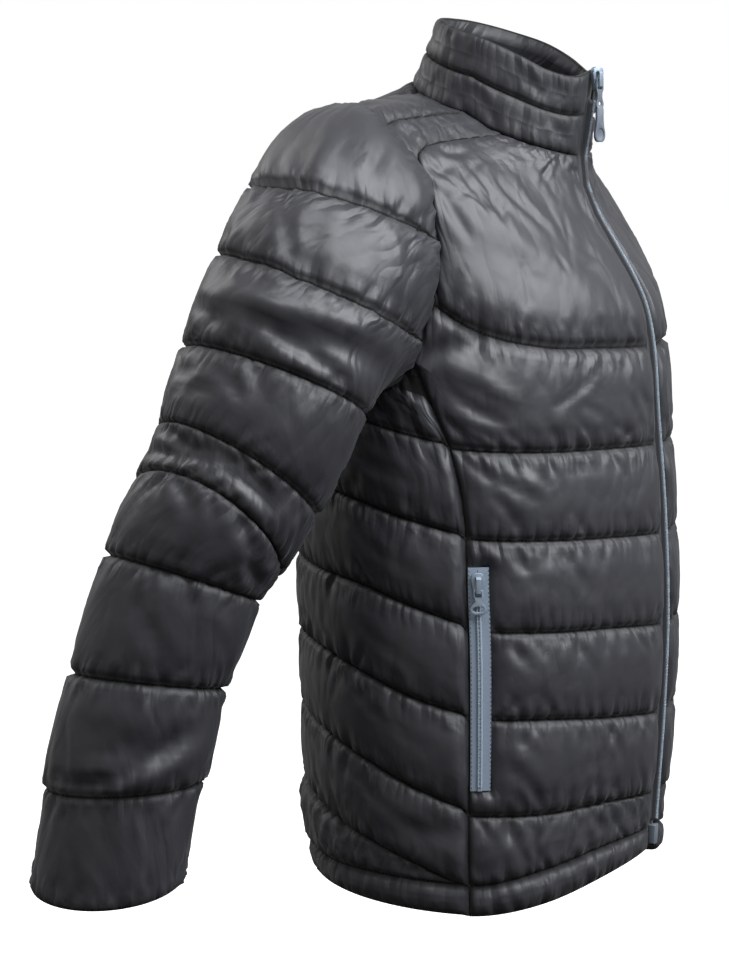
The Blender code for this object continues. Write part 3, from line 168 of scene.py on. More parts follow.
# Sharper creases, laid into the settled cloth. A channel is counted from the hem up, on the collar from
# its foot and on a sleeve from the armhole down. Across is the share of the panel's width: from the zip on
# a front, from the right side seam on the back, and on a sleeve from the armpit by way of its front.
# Rise is the share of the channel's height, and bow bends the middle up.
CREASE_COLUMNS = "channel across_1 rise_1 across_2 rise_2 bow half_width height"
FRONT_CREASES = columns(CREASE_COLUMNS, [
    (7, 0.75, 0.80, 0.45, 0.35, 0.05, 0.0090, 0.0022),
    (7, 0.60, 0.80, 0.35, 0.40, 0.05, 0.0080, 0.0020),
    (7, 0.70, 0.75, 0.40, 0.35, 0.05, 0.0050, -0.0016),
    (7, 0.50, 0.90, 0.25, 0.70, 0.05, 0.0045, -0.0016),
    (7, 0.98, 0.75, 0.85, 0.80, -0.05, 0.0045, -0.0026),
    (7, 0.98, 0.55, 0.85, 0.65, -0.05, 0.0045, -0.0020),
    (7, 0.98, 0.40, 0.85, 0.25, 0.00, 0.0045, -0.0022),
    (7, 0.80, 0.65, 0.70, 0.40, 0.00, 0.0060, -0.0020),
    (7, 0.12, 0.85, 0.08, 0.60, 0.00, 0.0050, -0.0018),
    (6, 0.90, 0.75, 0.60, 0.60, 0.05, 0.0070, 0.0024),
    (6, 0.90, 0.50, 0.70, 0.35, 0.00, 0.0045, -0.0022),
    (6, 0.50, 0.50, 0.25, 0.95, 0.05, 0.0040, -0.0015),
    (6, 0.25, 0.35, 0.15, 0.10, 0.00, 0.0040, -0.0015),
    (6, 0.10, 0.75, 0.05, 0.35, 0.00, 0.0045, -0.0020),
    (5, 0.95, 0.75, 0.65, 0.45, 0.00, 0.0045, -0.0022),
    (5, 0.90, 0.55, 0.75, 0.15, 0.05, 0.0040, -0.0016),
    (5, 0.70, 0.85, 0.60, 0.55, 0.00, 0.0040, -0.0014),
    (4, 0.85, 0.90, 0.70, 0.50, 0.05, 0.0045, -0.0018),
    (4, 0.60, 0.85, 0.45, 0.40, 0.05, 0.0050, -0.0014),
    (3, 0.85, 0.85, 0.70, 0.55, 0.00, 0.0045, -0.0018),
    (3, 0.60, 0.90, 0.40, 0.50, 0.05, 0.0045, -0.0012),
    (2, 0.85, 0.55, 0.65, 0.15, 0.05, 0.0045, -0.0020),
    (2, 0.80, 0.80, 0.65, 0.55, 0.00, 0.0045, -0.0014),
    (1, 0.85, 0.90, 0.75, 0.40, 0.00, 0.0045, -0.0018),
    (1, 0.40, 0.85, 0.30, 0.35, 0.00, 0.0045, -0.0014),
])
BACK_CREASES = columns(CREASE_COLUMNS, [
    (8, 0.12, 0.70, 0.25, 0.40, 0.05, 0.0050, -0.0018),
    (8, 0.75, 0.35, 0.88, 0.65, 0.05, 0.0050, -0.0018),
    (7, 0.05, 0.80, 0.12, 0.30, 0.00, 0.0045, -0.0022),
    (7, 0.90, 0.30, 0.96, 0.80, 0.05, 0.0045, -0.0020),
    (7, 0.45, 0.40, 0.60, 0.55, -0.05, 0.0050, -0.0014),
    (6, 0.03, 0.45, 0.15, 0.80, -0.05, 0.0045, -0.0022),
    (6, 0.10, 0.20, 0.17, 0.75, 0.00, 0.0040, -0.0018),
    (6, 0.80, 0.70, 0.95, 0.35, 0.00, 0.0045, -0.0020),
    (5, 0.03, 0.40, 0.12, 0.75, 0.00, 0.0040, -0.0018),
    (5, 0.15, 0.75, 0.30, 0.50, 0.00, 0.0045, -0.0014),
    (5, 0.62, 0.60, 0.78, 0.35, 0.05, 0.0045, -0.0016),
    (4, 0.03, 0.35, 0.12, 0.70, 0.00, 0.0040, -0.0018),
    (4, 0.85, 0.70, 0.95, 0.40, 0.05, 0.0045, -0.0016),
    (4, 0.40, 0.55, 0.55, 0.35, 0.00, 0.0050, -0.0012),
    (3, 0.03, 0.50, 0.12, 0.80, 0.00, 0.0040, -0.0018),
    (3, 0.20, 0.40, 0.30, 0.75, 0.00, 0.0045, -0.0014),
    (3, 0.70, 0.65, 0.82, 0.35, 0.00, 0.0045, -0.0016),
    (2, 0.03, 0.45, 0.14, 0.75, 0.05, 0.0045, -0.0018),
    (2, 0.88, 0.70, 0.96, 0.35, 0.00, 0.0045, -0.0016),
])
SLEEVE_CREASES = columns(CREASE_COLUMNS, [
    (0, 0.50, 0.20, 0.45, 0.60, 0.05, 0.0050, -0.0016),
    (0, 0.43, 0.30, 0.40, 0.85, 0.00, 0.0050, -0.0016),
    (0, 0.60, 0.35, 0.66, 0.75, 0.00, 0.0050, -0.0014),
    (1, 0.53, 0.05, 0.47, 0.85, 0.00, 0.0040, -0.0024),
    (1, 0.50, 0.05, 0.46, 0.90, 0.03, 0.0038, -0.0022),
    (1, 0.48, 0.10, 0.44, 0.95, 0.00, 0.0038, -0.0024),
    (1, 0.46, 0.05, 0.43, 0.95, 0.03, 0.0040, -0.0020),
    (1, 0.37, 0.15, 0.28, 0.75, 0.05, 0.0070, 0.0024),
    (1, 0.63, 0.30, 0.68, 0.50, 0.00, 0.0045, -0.0018),
    (2, 0.64, 0.45, 0.32, 0.30, 0.05, 0.0060, 0.0028),
    (2, 0.50, 0.55, 0.30, 0.80, 0.00, 0.0055, -0.0036),
    (2, 0.64, 0.55, 0.53, 0.70, 0.00, 0.0045, -0.0026),
    (2, 0.55, 0.10, 0.50, 0.20, 0.00, 0.0045, -0.0020),
    (2, 0.40, 0.05, 0.32, 0.18, 0.00, 0.0045, -0.0020),
    (3, 0.64, 0.35, 0.56, 0.35, 0.04, 0.0045, -0.0022),
    (3, 0.62, 0.55, 0.50, 0.50, 0.00, 0.0045, -0.0020),
    (3, 0.52, 0.35, 0.46, 0.45, 0.00, 0.0045, -0.0020),
    (3, 0.46, 0.05, 0.45, 0.40, 0.00, 0.0040, -0.0018),
    (4, 0.62, 0.15, 0.50, 0.55, 0.05, 0.0050, -0.0028),
    (4, 0.68, 0.60, 0.52, 0.75, 0.00, 0.0050, -0.0026),
    (4, 0.46, 0.30, 0.32, 0.50, 0.00, 0.0050, -0.0026),
    (5, 0.55, 0.02, 0.47, 0.40, 0.00, 0.0050, -0.0024),
    (5, 0.40, 0.10, 0.31, 0.35, 0.03, 0.0050, -0.0022),
    (5, 0.34, 0.45, 0.26, 0.60, 0.00, 0.0050, -0.0028),
    (6, 0.52, 0.30, 0.38, 0.80, 0.00, 0.0060, -0.0014),
    (6, 0.50, 0.04, 0.42, 0.12, 0.00, 0.0045, -0.0018),
    (7, 0.60, 0.80, 0.36, 0.55, 0.15, 0.0055, -0.0032),
    (7, 0.60, 0.40, 0.56, 0.75, 0.00, 0.0045, -0.0020),
    (7, 0.38, 0.75, 0.34, 0.45, 0.00, 0.0045, -0.0022),
    (8, 0.60, 0.02, 0.58, 0.20, 0.00, 0.0060, -0.0016),
    (8, 0.46, 0.05, 0.46, 0.65, 0.00, 0.0080, -0.0014),
    (1, 0.78, 0.30, 0.90, 0.65, 0.00, 0.0050, -0.0018),
    (2, 0.76, 0.40, 0.90, 0.60, 0.05, 0.0050, -0.0022),
    (3, 0.05, 0.35, 0.20, 0.60, 0.00, 0.0050, -0.0020),
    (4, 0.72, 0.35, 0.90, 0.55, 0.00, 0.0050, -0.0024),
    (5, 0.80, 0.30, 0.95, 0.65, 0.00, 0.0050, -0.0020),
    (6, 0.75, 0.40, 0.90, 0.70, 0.00, 0.0055, -0.0016),
    (7, 0.70, 0.60, 0.88, 0.80, 0.05, 0.0055, -0.0020),
])
# The sleeve's mesh is coarse, so its creases are deepened and none is narrower than the mesh can show.
SLEEVE_CREASE_GAIN = 1.5
SLEEVE_CREASE_WIDTH = 0.0055
SLEEVE_CREASES["height"] *= SLEEVE_CREASE_GAIN
SLEEVE_CREASES["half_width"] = np.maximum(SLEEVE_CREASES["half_width"], SLEEVE_CREASE_WIDTH)
COLLAR_CREASES = columns(CREASE_COLUMNS, [
    (0, 0.04, 0.30, 0.10, 0.80, 0.00, 0.0040, -0.0016),
    (0, 0.18, 0.20, 0.25, 0.70, 0.05, 0.0040, -0.0014),
    (0, 0.68, 0.30, 0.78, 0.75, 0.00, 0.0040, -0.0014),
    (1, 0.10, 0.25, 0.17, 0.75, 0.00, 0.0040, -0.0014),
    (1, 0.40, 0.35, 0.52, 0.60, 0.05, 0.0045, -0.0014),
    (1, 0.85, 0.65, 0.90, 0.25, 0.00, 0.0040, -0.0014),
])
SHOULDER_CREASES = columns(CREASE_COLUMNS, [
    (0, 0.20, 0.20, 0.30, 0.80, 0.00, 0.0040, -0.0014),
    (1, 0.55, 0.15, 0.70, 0.60, 0.05, 0.0040, -0.0014),
])
LEFT_DRIFT = 0.02
SEAM_CALM = 0.006
COLLAR_CALM = 0.3
CREASE_STATIONS = 41
FOLD_STATIONS = 17
SHARPNESS = 1.4
SWELL = 0.35
CREASE_SWELL_AT = 1.9
TUCK_SWELL_AT = 1.8

# The small tucks that stitching pulls into the cloth, and the slack creases between them.
TUCK_SPACING = (0.005, 0.015)
TUCK_REACH = (0.010, 0.042)
TUCK_HALF_WIDTH = (0.0022, 0.0040)
TUCK_DEPTH = (0.0010, 0.0038)
TUCK_START = 0.0030
TUCK_TILT = 0.5
TUCK_FADE = 1.2
TUCK_SHARE = 0.8
TUCK_WINDOW = 9
SLACK_PER_AREA = 420.0
SLACK_LENGTH = (0.022, 0.070)
SLACK_HALF_WIDTH = (0.0028, 0.0050)
SLACK_DEPTH = (0.0004, 0.0014)
SLACK_TURN = 0.75
SLACK_BEND = 1.5
SLACK_CALM = 0.008

# How finely the panels are laid out: rows in each kind of channel, one column's width, and the widths
# that set how many columns a panel has.
CHANNEL_ROWS = 16
HEM_ROWS = 5
WEDGE_ROWS = 9
ARMPIT_ROWS = 3
YOKE_ROWS = 30
COLLAR_ROWS = 10
OVER_CHEST_ROWS = 27
UNDER_COLUMNS = 14
INNER_STEP = 4
COLUMN = 0.0030
FRONT_WIDTH = 0.215
TAPE_WIDTH = 0.023
BACK_HALF_WIDTH = 0.26
YOKE_WIDTH = 0.12
SLEEVE_GIRTH = 0.40
COLLAR_GIRTH = 0.42
CAP_STATIONS = 101

# Small steps for directions and searches, and the levels between which seams are looked for.
ANGLE_STEP = 0.5
LEVEL_STEP = 0.001
SHARE_STEP = 0.01
PLACE_STEP = 0.02
BISECTIONS = 40
ZIP_SIDE_ANGLE = 2.0
SEAM_SPAN = (-0.68, -0.15)
CORNER_SPAN = (-0.3, -0.1)
MITRE_LIMIT = 0.4

# How the cloth settles between its seams.
FRAMES = 20
PRESSURE = 9.0
SPARE_CLOTH = 0.03
FARTHEST = 0.0028
SEAM_GRIP = 0.020
SEAM_DEPTH = 0.0012
THINNEST = 0.0008
UNEVEN = 0.0004
SETTLE_SEED = 11
CLOTH = {
    "quality": 5,
    "mass": 0.2,
    "air_damping": 2.0,
    "tension_stiffness": 30.0,
    "compression_stiffness": 20.0,
    "shear_stiffness": 6.0,
    "bending_stiffness": 0.06,
    "tension_damping": 8.0,
    "compression_damping": 8.0,
    "shear_damping": 8.0,
    "use_pressure": True,
    "uniform_pressure_force": PRESSURE,
    "shrink_min": -SPARE_CLOTH,
}

# Stitches and the zips' coils.
STITCH_RISE = 0.0002
STITCH = {"Pitch": 0.0036, "Length": 0.0022, "Width": 0.0008, "Height": 0.0008, "Segments": 5, "Rings": 3}
COIL = {"Pitch": 0.0013, "Length": 0.0012, "Width": 0.0022, "Height": 0.0016, "Segments": 6, "Rings": 4}
BEAD_SIZES = (0.9, 1.1)
COIL_SLANT = 0.35
COIL_HALF_SPACING = 0.00115
FRONT_COIL_RISE = 0.0069
FRONT_COIL_FOOT = -0.597
FRONT_COIL_TOP = 0.64
FRONT_COIL_STATIONS = (140, 20)
POCKET_COIL_RISE = 0.0064
POCKET_COIL_SHARE = 0.44
POCKET_COIL_SPAN = (-0.547, -0.394)
POCKET_COIL_STATIONS = 50
POCKET_TAPE_START = 0.4
POCKET_TAPE_WIDTH = 6.2
POCKET_SEAM_SHARES = (0.04, 0.44, 0.94)
POCKET_SEAM_RISE = 0.0067
POCKET_SEAM_SPAN = (POCKET_LOW + 0.003, POCKET_HIGH - 0.003)
POCKET_SEAM_STATIONS = 60

# The rounding of the hard pieces.
SAME_POINT = 0.00001
FLAT_ANGLE = np.radians(2)
SHARP_EDGE = 0.5
EDGE_ROUNDING = 0.00025
SMOOTH_BELOW = float(np.radians(40))

# Curves and surfaces.


def spline(keys, values, at):
    """A smooth curve through a table's points, with each slope taken from its neighbours."""
    keys = np.asarray(keys, float)
    values = np.asarray(values, float)
    slopes = np.gradient(values, keys, axis=0)
    at = np.asarray(at, float)
    first = np.clip(np.searchsorted(keys, at, side="right") - 1, 0, len(keys) - 2)
    span = keys[first + 1] - keys[first]
    share = (at - keys[first]) / span
    if values.ndim > 1:
        span = span[..., None]
        share = share[..., None]
    left = 1 - share
    start = values[first] * (1 + 2 * share) * left**2 + slopes[first] * span * share * left**2
    end = values[first + 1] * (1 + 2 * left) * share**2 - slopes[first + 1] * span * left * share**2
    return start + end


def unit(vectors):
    """The vectors at length one."""
    return vectors / np.maximum(np.linalg.norm(vectors, axis=-1, keepdims=True), 1e-12)


def eased(share):
    """A share that leaves 0 and reaches 1 smoothly."""
    share = np.clip(share, 0, 1)
    return share * share * (3 - 2 * share)


def rounded(share):
    """The padding's profile beside a seam: steep at the seam, level at full height."""
    return np.sqrt(1 - (1 - np.clip(share, 0, 1)) ** 2)


def pinched(distance, swell_at):
    """A crease's profile: a narrow hollow with a slight swell beside it, over distance in half widths."""
    distance = np.abs(distance)
    return np.exp(-(distance**SHARPNESS)) - SWELL * np.exp(-((distance - swell_at) ** 2))


def signs(side):
    """What turns points of the right side into those of a side."""
    return (-1, 1, 1) if side == "left" else (1, 1, 1)


def torso(angle, level):
    """Points of the torso surface."""
    ring = {name: spline(TORSO["level"], TORSO[name], level) for name in TORSO if name != "level"}
    turn = np.radians(angle)
    front = np.maximum(np.cos(turn), 0)
    back = np.maximum(-np.cos(turn), 0)
    height = ring["z_side"] + (ring["z_front"] - ring["z_side"]) * front ** ring["blend"]
    height = height + (ring["z_back"] - ring["z_side"]) * back**BACK_BLEND
    depth = ring["y_side"] + (ring["y_front"] - ring["y_side"]) * front ** ring["point"]
    depth = depth + (ring["y_back"] - ring["y_side"]) * back
    depth = depth - PROW * ring["prow"] * np.exp(-((np.asarray(angle) / PROW_ANGLE) ** 2))
    return np.stack(np.broadcast_arrays(-ring["half_width"] * np.sin(turn), depth, height), -1)


def surface_normal(surface, angle, level, angle_step, level_step):
    along = surface(angle + angle_step, level) - surface(angle - angle_step, level)
    up = surface(angle, level + level_step) - surface(angle, level - level_step)
    return unit(np.cross(up, along))


def torso_normal(angle, level):
    return surface_normal(torso, angle, level, ANGLE_STEP, LEVEL_STEP)


def collar_surface(angle, share):
    """Points of the collar: share 0 is the neck seam and 1 the top edge."""
    turn = np.radians(angle)
    folded = np.abs((np.asarray(angle) + 180) % 360 - 180)
    top_x = -spline(COLLAR_TOP["angle"], COLLAR_TOP["half_width"], folded) * np.sin(turn)
    top_y = spline(COLLAR_TOP["angle"], COLLAR_TOP["y"], folded)
    top_z = spline(COLLAR_TOP["angle"], COLLAR_TOP["z"], folded)
    top = np.stack(np.broadcast_arrays(top_x, top_y, top_z), -1)
    foot = torso(folded, np.zeros_like(folded))
    foot[..., 0] = np.sign(np.sin(turn)) * -np.abs(foot[..., 0])
    share = np.asarray(share)[..., None]
    return foot + (top - foot) * share


def collar_normal(angle, share):
    return surface_normal(collar_surface, angle, share, ANGLE_STEP, SHARE_STEP)


def armhole(turn):
    """Angle and level of the armhole seam on the torso."""
    turn = np.asarray(turn) % 360
    keys = np.concatenate([ARMHOLE["turn"][-3:-1] - 360, ARMHOLE["turn"], ARMHOLE["turn"][1:3] + 360])
    found = []
    for name in ("angle", "level"):
        values = ARMHOLE[name]
        found.append(spline(keys, np.concatenate([values[-3:-1], values, values[1:3]]), turn))
    return found


def sleeve_ring(turn, place):
    """Points round the arm: place 0 is the first whole ring and the last one is the cuff."""
    keys = np.arange(len(SLEEVE["x"]))
    ring = {name: spline(keys, values, place) for name, values in SLEEVE.items()}
    centre_points = np.stack([SLEEVE["x"], SLEEVE["y"], SLEEVE["z"]], -1)
    centre = spline(keys, centre_points, place)
    ahead = spline(keys, centre_points, place + SHARE_STEP)
    along = unit(ahead - spline(keys, centre_points, place - SHARE_STEP))
    forward = np.array((0.0, -1.0, 0.0))
    forward = unit(forward - (along @ forward)[..., None] * along)
    outward = unit(np.cross(along, forward))
    outer_share = -np.cos(np.radians(turn))
    points = centre + forward * (ring["half_depth"] * np.sin(np.radians(turn)))[..., None]
    points = points + outward * (ring["half_width"] * outer_share)[..., None]
    shift = ring["slant"] * outer_share - ring["tilt"] * np.sin(np.radians(turn))
    points = points + along * shift[..., None]
    return points, along, centre


def sleeve(turn, place):
    """Points of the sleeve: place 0 is the armhole, 1 the first whole ring."""
    turn, place = np.broadcast_arrays(np.asarray(turn, float), np.asarray(place, float))
    start = torso(*armhole(turn))
    end, _, _ = sleeve_ring(turn, np.maximum(place - 1, 0))
    first, along, centre = sleeve_ring(turn, np.zeros_like(place))
    length = np.linalg.norm(first - start, axis=-1, keepdims=True)
    share = np.clip(place, 0, 1)[..., None]
    leave = unit(np.array(SLEEVE_START)) * length * CAP_PULL
    arrive = along * length * CAP_PULL
    cap = (
        start * (1 + 2 * share) * (1 - share) ** 2
        + leave * share * (1 - share) ** 2
        + first * share**2 * (3 - 2 * share)
        - arrive * share**2 * (1 - share)
    )
    rise = spline(CAP_BULGE["turn"], CAP_BULGE["height"], turn % 360)
    outward = unit(unit(first - centre) + (0, 0, 1))
    cap = cap + outward * rise[..., None] * np.sin(np.pi * share**CAP_BULGE_SKEW)
    return np.where((place < 1)[..., None], cap, end)


def sleeve_normal(turn, place):
    turn = np.asarray(turn, float)
    place = np.asarray(place, float)
    around = sleeve(turn + 1, place) - sleeve(turn - 1, place)
    along = sleeve(turn, place + PLACE_STEP) - sleeve(turn, np.maximum(place - PLACE_STEP, 0))
    return unit(np.cross(around, along))


def seam_direction(turn):
    """The direction that both walls share along the armhole seam."""
    return unit(unit(torso_normal(*armhole(turn))) + sleeve_normal(turn, PLACE_STEP))


def neck_direction(angle):
    """The direction that both walls share along the neck seam, at angles right round it."""
    folded = np.abs((np.asarray(angle, float) + 180) % 360 - 180)
    direction = unit(torso_normal(folded, 0.0) + collar_normal(folded, PLACE_STEP))
    direction[..., 0] *= np.where(np.sin(np.radians(angle)) < 0, -1, 1)
    return direction


# Places of the quilt lines and seams.


def line_levels(lines, angle):
    """Levels of a panel's quilt lines at each angle, from the hem up, and the neck's at the end."""
    names = [name for name in lines if name != "angle"]
    levels = np.array([spline(lines["angle"], lines[name], angle) for name in names])
    levels = np.maximum.accumulate(levels, axis=0)
    return np.concatenate([levels, np.zeros_like(levels[:1])])


def level_at(lines, angle, place):
    """The level at which a quilt place lies, at each angle."""
    levels = line_levels(lines, angle)
    below = np.clip(np.floor(place).astype(int), 0, len(levels) - 2)
    share = place - below
    low = np.take_along_axis(levels, np.broadcast_to(below, levels.shape[1:])[None], 0)[0]
    high = np.take_along_axis(levels, np.broadcast_to(below + 1, levels.shape[1:])[None], 0)[0]
    return low + (high - low) * share


def place_among(lines, angle, level):
    """How many quilt lines lie below each point, with its share of the channel it is in."""
    levels = line_levels(lines, angle)
    below = np.clip((levels <= level).sum(0) - 1, 0, len(levels) - 2)
    low = np.take_along_axis(levels, below[None], 0)[0]
    high = np.take_along_axis(levels, below[None] + 1, 0)[0]
    return below + (level - low) / np.maximum(high - low, 1e-9)


def meeting(lines, place, path, low, high):
    """The parameters, between two others, at which a rising path meets rows of quilt places."""
    place = np.atleast_1d(np.asarray(place, float))
    low = np.full(place.shape, float(low))
    high = np.full(place.shape, float(high))
    for _ in range(BISECTIONS):
        middle = (low + high) / 2
        below = place_among(lines, *path(middle)) < place
        low = np.where(below, middle, low)
        high = np.where(below, high, middle)
    return (low + high) / 2


def place_of(lines, angle, level):
    """The place of one point among a panel's quilt lines."""
    return float(place_among(lines, *np.atleast_1d(angle, level))[0])


def crossing(lines, place, path, low, high):
    """The parameter at which a rising path meets one quilt place."""
    return float(meeting(lines, place, path, low, high)[0])


def back_armhole(turn):
    """The armhole followed backwards from the armpit."""
    return armhole(360 - turn)


def seam_path(level):
    """The side-front seam."""
    return spline(SIDE_SEAM["level"], SIDE_SEAM["angle"], level), np.asarray(level, float)


def yoke_point(arm_turn, neck_angle, share):
    """A point of the yoke between its armhole edge, share 0, and the collar, share 1."""
    angle, level = armhole(arm_turn)
    return angle + (neck_angle - angle) * share, level * (1 - share)


def zip_angle(level):
    """The angle at which a front's edge runs beside the zip."""
    return np.degrees(np.arcsin(ZIP_HALF_OPENING / spline(TORSO["level"], TORSO["half_width"], level)))


def column_count(width):
    """How many columns a width is laid out in."""
    return int(round(width / COLUMN))


def even_rows(count):
    """Shares of a span's height for rows at even distances."""
    return np.arange(1, count + 1) / count


def channel_rows(count):
    """Shares of a channel's height that lie closer together beside its two quilt lines."""
    even = even_rows(count)
    return (even + (1 - np.cos(np.pi * even)) / 2) / 2


def subdivided(stops, spans):
    """Values between neighbouring stops, at each span's shares of the way."""
    values = [stops[0]]
    for start, end, shares in zip(stops, stops[1:], spans):
        values += list(start + (end - start) * np.array(shares))
    return np.array(values)


def span_ends(spans):
    """The first row, and the last row of each span."""
    return [int(row) for row in np.cumsum([0] + [len(span) for span in spans])]


FRONT_NAMES = [name for name in FRONT_LINES if name != "angle"]
BACK_NAMES = [name for name in BACK_LINES if name != "angle"]
CHEST_TURN = crossing(FRONT_LINES, FRONT_NAMES.index("chest"), armhole, CORNER_TURN, CHEST_TURN_LIMIT)
ARMPIT_PLACE = place_of(BACK_LINES, *armhole(0.0))
FULL = channel_rows(CHANNEL_ROWS)
HEM = even_rows(HEM_ROWS)
SHORT = even_rows(ARMPIT_ROWS)
HALF = even_rows(CHANNEL_ROWS // 2)
SEAM_SPANS = (HEM, FULL, FULL, FULL, FULL, FULL, HALF, SHORT, SHORT)
SEAM_STOPS = [
    *meeting(FRONT_LINES, np.arange(FRONT_NAMES.index("breast") + 1), seam_path, *SEAM_SPAN),
    crossing(BACK_LINES, ARMPIT_PLACE, seam_path, *SEAM_SPAN),
    crossing(BACK_LINES, BACK_NAMES.index("chest"), seam_path, *SEAM_SPAN),
    crossing(FRONT_LINES, place_of(FRONT_LINES, *armhole(CORNER_TURN)), seam_path, *CORNER_SPAN),
]
SEAM_LEVELS = subdivided(SEAM_STOPS, SEAM_SPANS)
CORNER_PLACE = place_of(BACK_LINES, *seam_path(SEAM_LEVELS[-1]))
YOKE_BACK_PLACE = place_of(BACK_LINES, *armhole(YOKE_BACK_TURN))
YOKE_SHARES = np.linspace(0, 1, YOKE_ROWS + 1)


# The panels.


class Panel:
    """A cut piece as a grid of base points with their normals and the padding's height over them."""

    def __init__(self, name, base, normals, line_rows, wrap=False, splits=()):
        self.name = name
        self.base = base
        self.normals = normals
        self.line_rows = line_rows
        self.wrap = wrap
        self.splits = splits
        self.up = arc_lengths(base)
        self.along = arc_lengths(np.swapaxes(base, 0, 1)).T
        self.lift = np.zeros(base.shape[:2])
        self.quilt = np.full(base.shape[:2], 1.0)
        self.side = np.minimum(self.along, self.along[:, -1:] - self.along)
        for low, high in zip(line_rows, line_rows[1:]):
            rows = slice(low, high + 1)
            self.quilt[rows] = np.minimum(self.up[rows] - self.up[low], self.up[high] - self.up[rows])

    def pad(self, height, reach=PUFF_REACH):
        """Raises the padding between neighbouring quilt lines."""
        for low, high in zip(self.line_rows, self.line_rows[1:]):
            rows = slice(low, high + 1)
            half_channel = (self.up[high] - self.up[low]) / 2
            fullness = np.clip(half_channel / reach, 0, 1)
            near = np.maximum(np.minimum(half_channel, reach), 1e-6)
            self.lift[rows] = height * fullness * rounded(self.quilt[rows] / near)

    def fold(self, surface, folds):
        """The height of folds, each of which runs smoothly through three places of a surface."""
        stations = np.linspace(0, 2, FOLD_STATIONS)
        added = np.zeros(self.lift.shape)
        for places in zip(*folds.values()):
            fold = dict(zip(folds, places))
            turns = spline((0, 1, 2), (fold["turn_1"], fold["turn_2"], fold["turn_3"]), stations)
            stops = spline((0, 1, 2), (fold["place_1"], fold["place_2"], fold["place_3"]), stations)
            path = surface(turns, stops)
            reach = np.sin(np.pi * stations / 2) ** 0.5
            distance = np.linalg.norm(self.base[:, :, None] - path, axis=-1) / fold["half_width"]
            added += fold["height"] * (reach * np.exp(-(distance**2))).max(-1)
        return added

    def at(self, row, column):
        """Base points between the grid's own, at fractions of a row and a column."""
        low, left = np.floor(row).astype(int), np.floor(column).astype(int)
        rows, across = self.lift.shape
        high = np.minimum(low + 1, rows - 1)
        right = (left + 1) % across if self.wrap else np.minimum(left + 1, across - 1)
        up, over = (row - low)[:, None], (column - left)[:, None]
        lower = self.base[low, left] * (1 - over) + self.base[low, right] * over
        upper = self.base[high, left] * (1 - over) + self.base[high, right] * over
        return lower * (1 - up) + upper * up

    def crease(self, creases, drift):
        """The height of the tabled creases, each a bowed line inside one channel."""
        share = np.linspace(0, 1, CREASE_STATIONS)
        reach = np.sin(np.pi * share) ** 0.5
        across = self.lift.shape[1]
        added = np.zeros(self.lift.shape)
        for places in zip(*creases.values()):
            crease = dict(zip(creases, places))
            low, high = self.line_rows[int(crease["channel"])], self.line_rows[int(crease["channel"]) + 1]
            rise = crease["rise_1"] + (crease["rise_2"] - crease["rise_1"]) * share
            rise = np.clip(rise + crease["bow"] * np.sin(np.pi * share), 0, 1)
            over = crease["across_1"] + (crease["across_2"] - crease["across_1"]) * share + drift
            column = over * across % across if self.wrap else np.clip(over, 0, 1) * (across - 1)
            path = self.at(low + (high - low) * rise, column)
            distance = np.linalg.norm(self.base[:, :, None] - path, axis=-1) / crease["half_width"]
            nearest = distance.argmin(-1)
            distance = np.take_along_axis(distance, nearest[..., None], -1)[..., 0]
            added += crease["height"] * reach[nearest] * pinched(distance, CREASE_SWELL_AT)
        return added

    def tucks(self, chance):
        """Short tucks on both sides of every quilt line, deepest beside the stitches."""
        height = np.zeros(self.lift.shape)
        last = self.lift.shape[1] - 1
        window = np.arange(-TUCK_WINDOW, TUCK_WINDOW + 1)
        for place, line in enumerate(self.line_rows):
            for step in (-1, 1):
                if not 0 <= place + step < len(self.line_rows):
                    continue
                rows = np.arange(line, self.line_rows[place + step], step)
                run = np.abs(self.up[rows] - self.up[line])
                at = chance.uniform(*TUCK_SPACING)
                while at < self.along[line, -1]:
                    middle = int(np.searchsorted(self.along[line], at).clip(0, last))
                    across = (middle + window) % (last + 1) if self.wrap else middle + window
                    across = across[(across >= 0) & (across <= last)]
                    reach = min(chance.uniform(*TUCK_REACH), TUCK_SHARE * run[-1, middle] + TUCK_START)
                    half_width = chance.uniform(*TUCK_HALF_WIDTH)
                    depth = chance.uniform(*TUCK_DEPTH)
                    tilt = chance.normal(0, TUCK_TILT)
                    at += chance.uniform(*TUCK_SPACING)
                    if run[-1, middle] < TUCK_REACH[0]:
                        continue
                    local_run = run[:, across]
                    girth = self.along[rows][:, across] - self.along[rows][:, [middle]]
                    if self.wrap:
                        round_it = self.along[rows][:, -1:]
                        girth = (girth + round_it / 2) % round_it - round_it / 2
                    offset = (girth - tilt * local_run) / (half_width * (1 + local_run / reach))
                    fade = np.clip(1 - local_run / reach, 0, 1) ** TUCK_FADE * eased(local_run / TUCK_START)
                    height[np.ix_(rows, across)] -= depth * pinched(offset, TUCK_SWELL_AT) * fade
        return height

    def slack(self, chance):
        """Long shallow creases that wander over the channels."""
        height = np.zeros(self.lift.shape)
        width, length = self.along.max(), self.up.max()
        for _ in range(int(width * length * SLACK_PER_AREA)):
            row = chance.integers(self.lift.shape[0])
            column = chance.integers(self.lift.shape[1])
            turn = chance.normal(np.pi / 2, SLACK_TURN)
            half_length = chance.uniform(*SLACK_LENGTH) / 2
            half_width = chance.uniform(*SLACK_HALF_WIDTH)
            depth = chance.uniform(*SLACK_DEPTH)
            bend = chance.normal(0, SLACK_BEND)
            girth = self.along - self.along[row, column]
            rise = self.up - self.up[row, column]
            run = girth * np.cos(turn) + rise * np.sin(turn)
            offset = (girth * np.sin(turn) - rise * np.cos(turn) + bend * run**2) / half_width
            height -= depth * pinched(offset, TUCK_SWELL_AT) * np.clip(1 - (run / half_length) ** 2, 0, 1)
        return height * eased(self.quilt / SLACK_CALM)


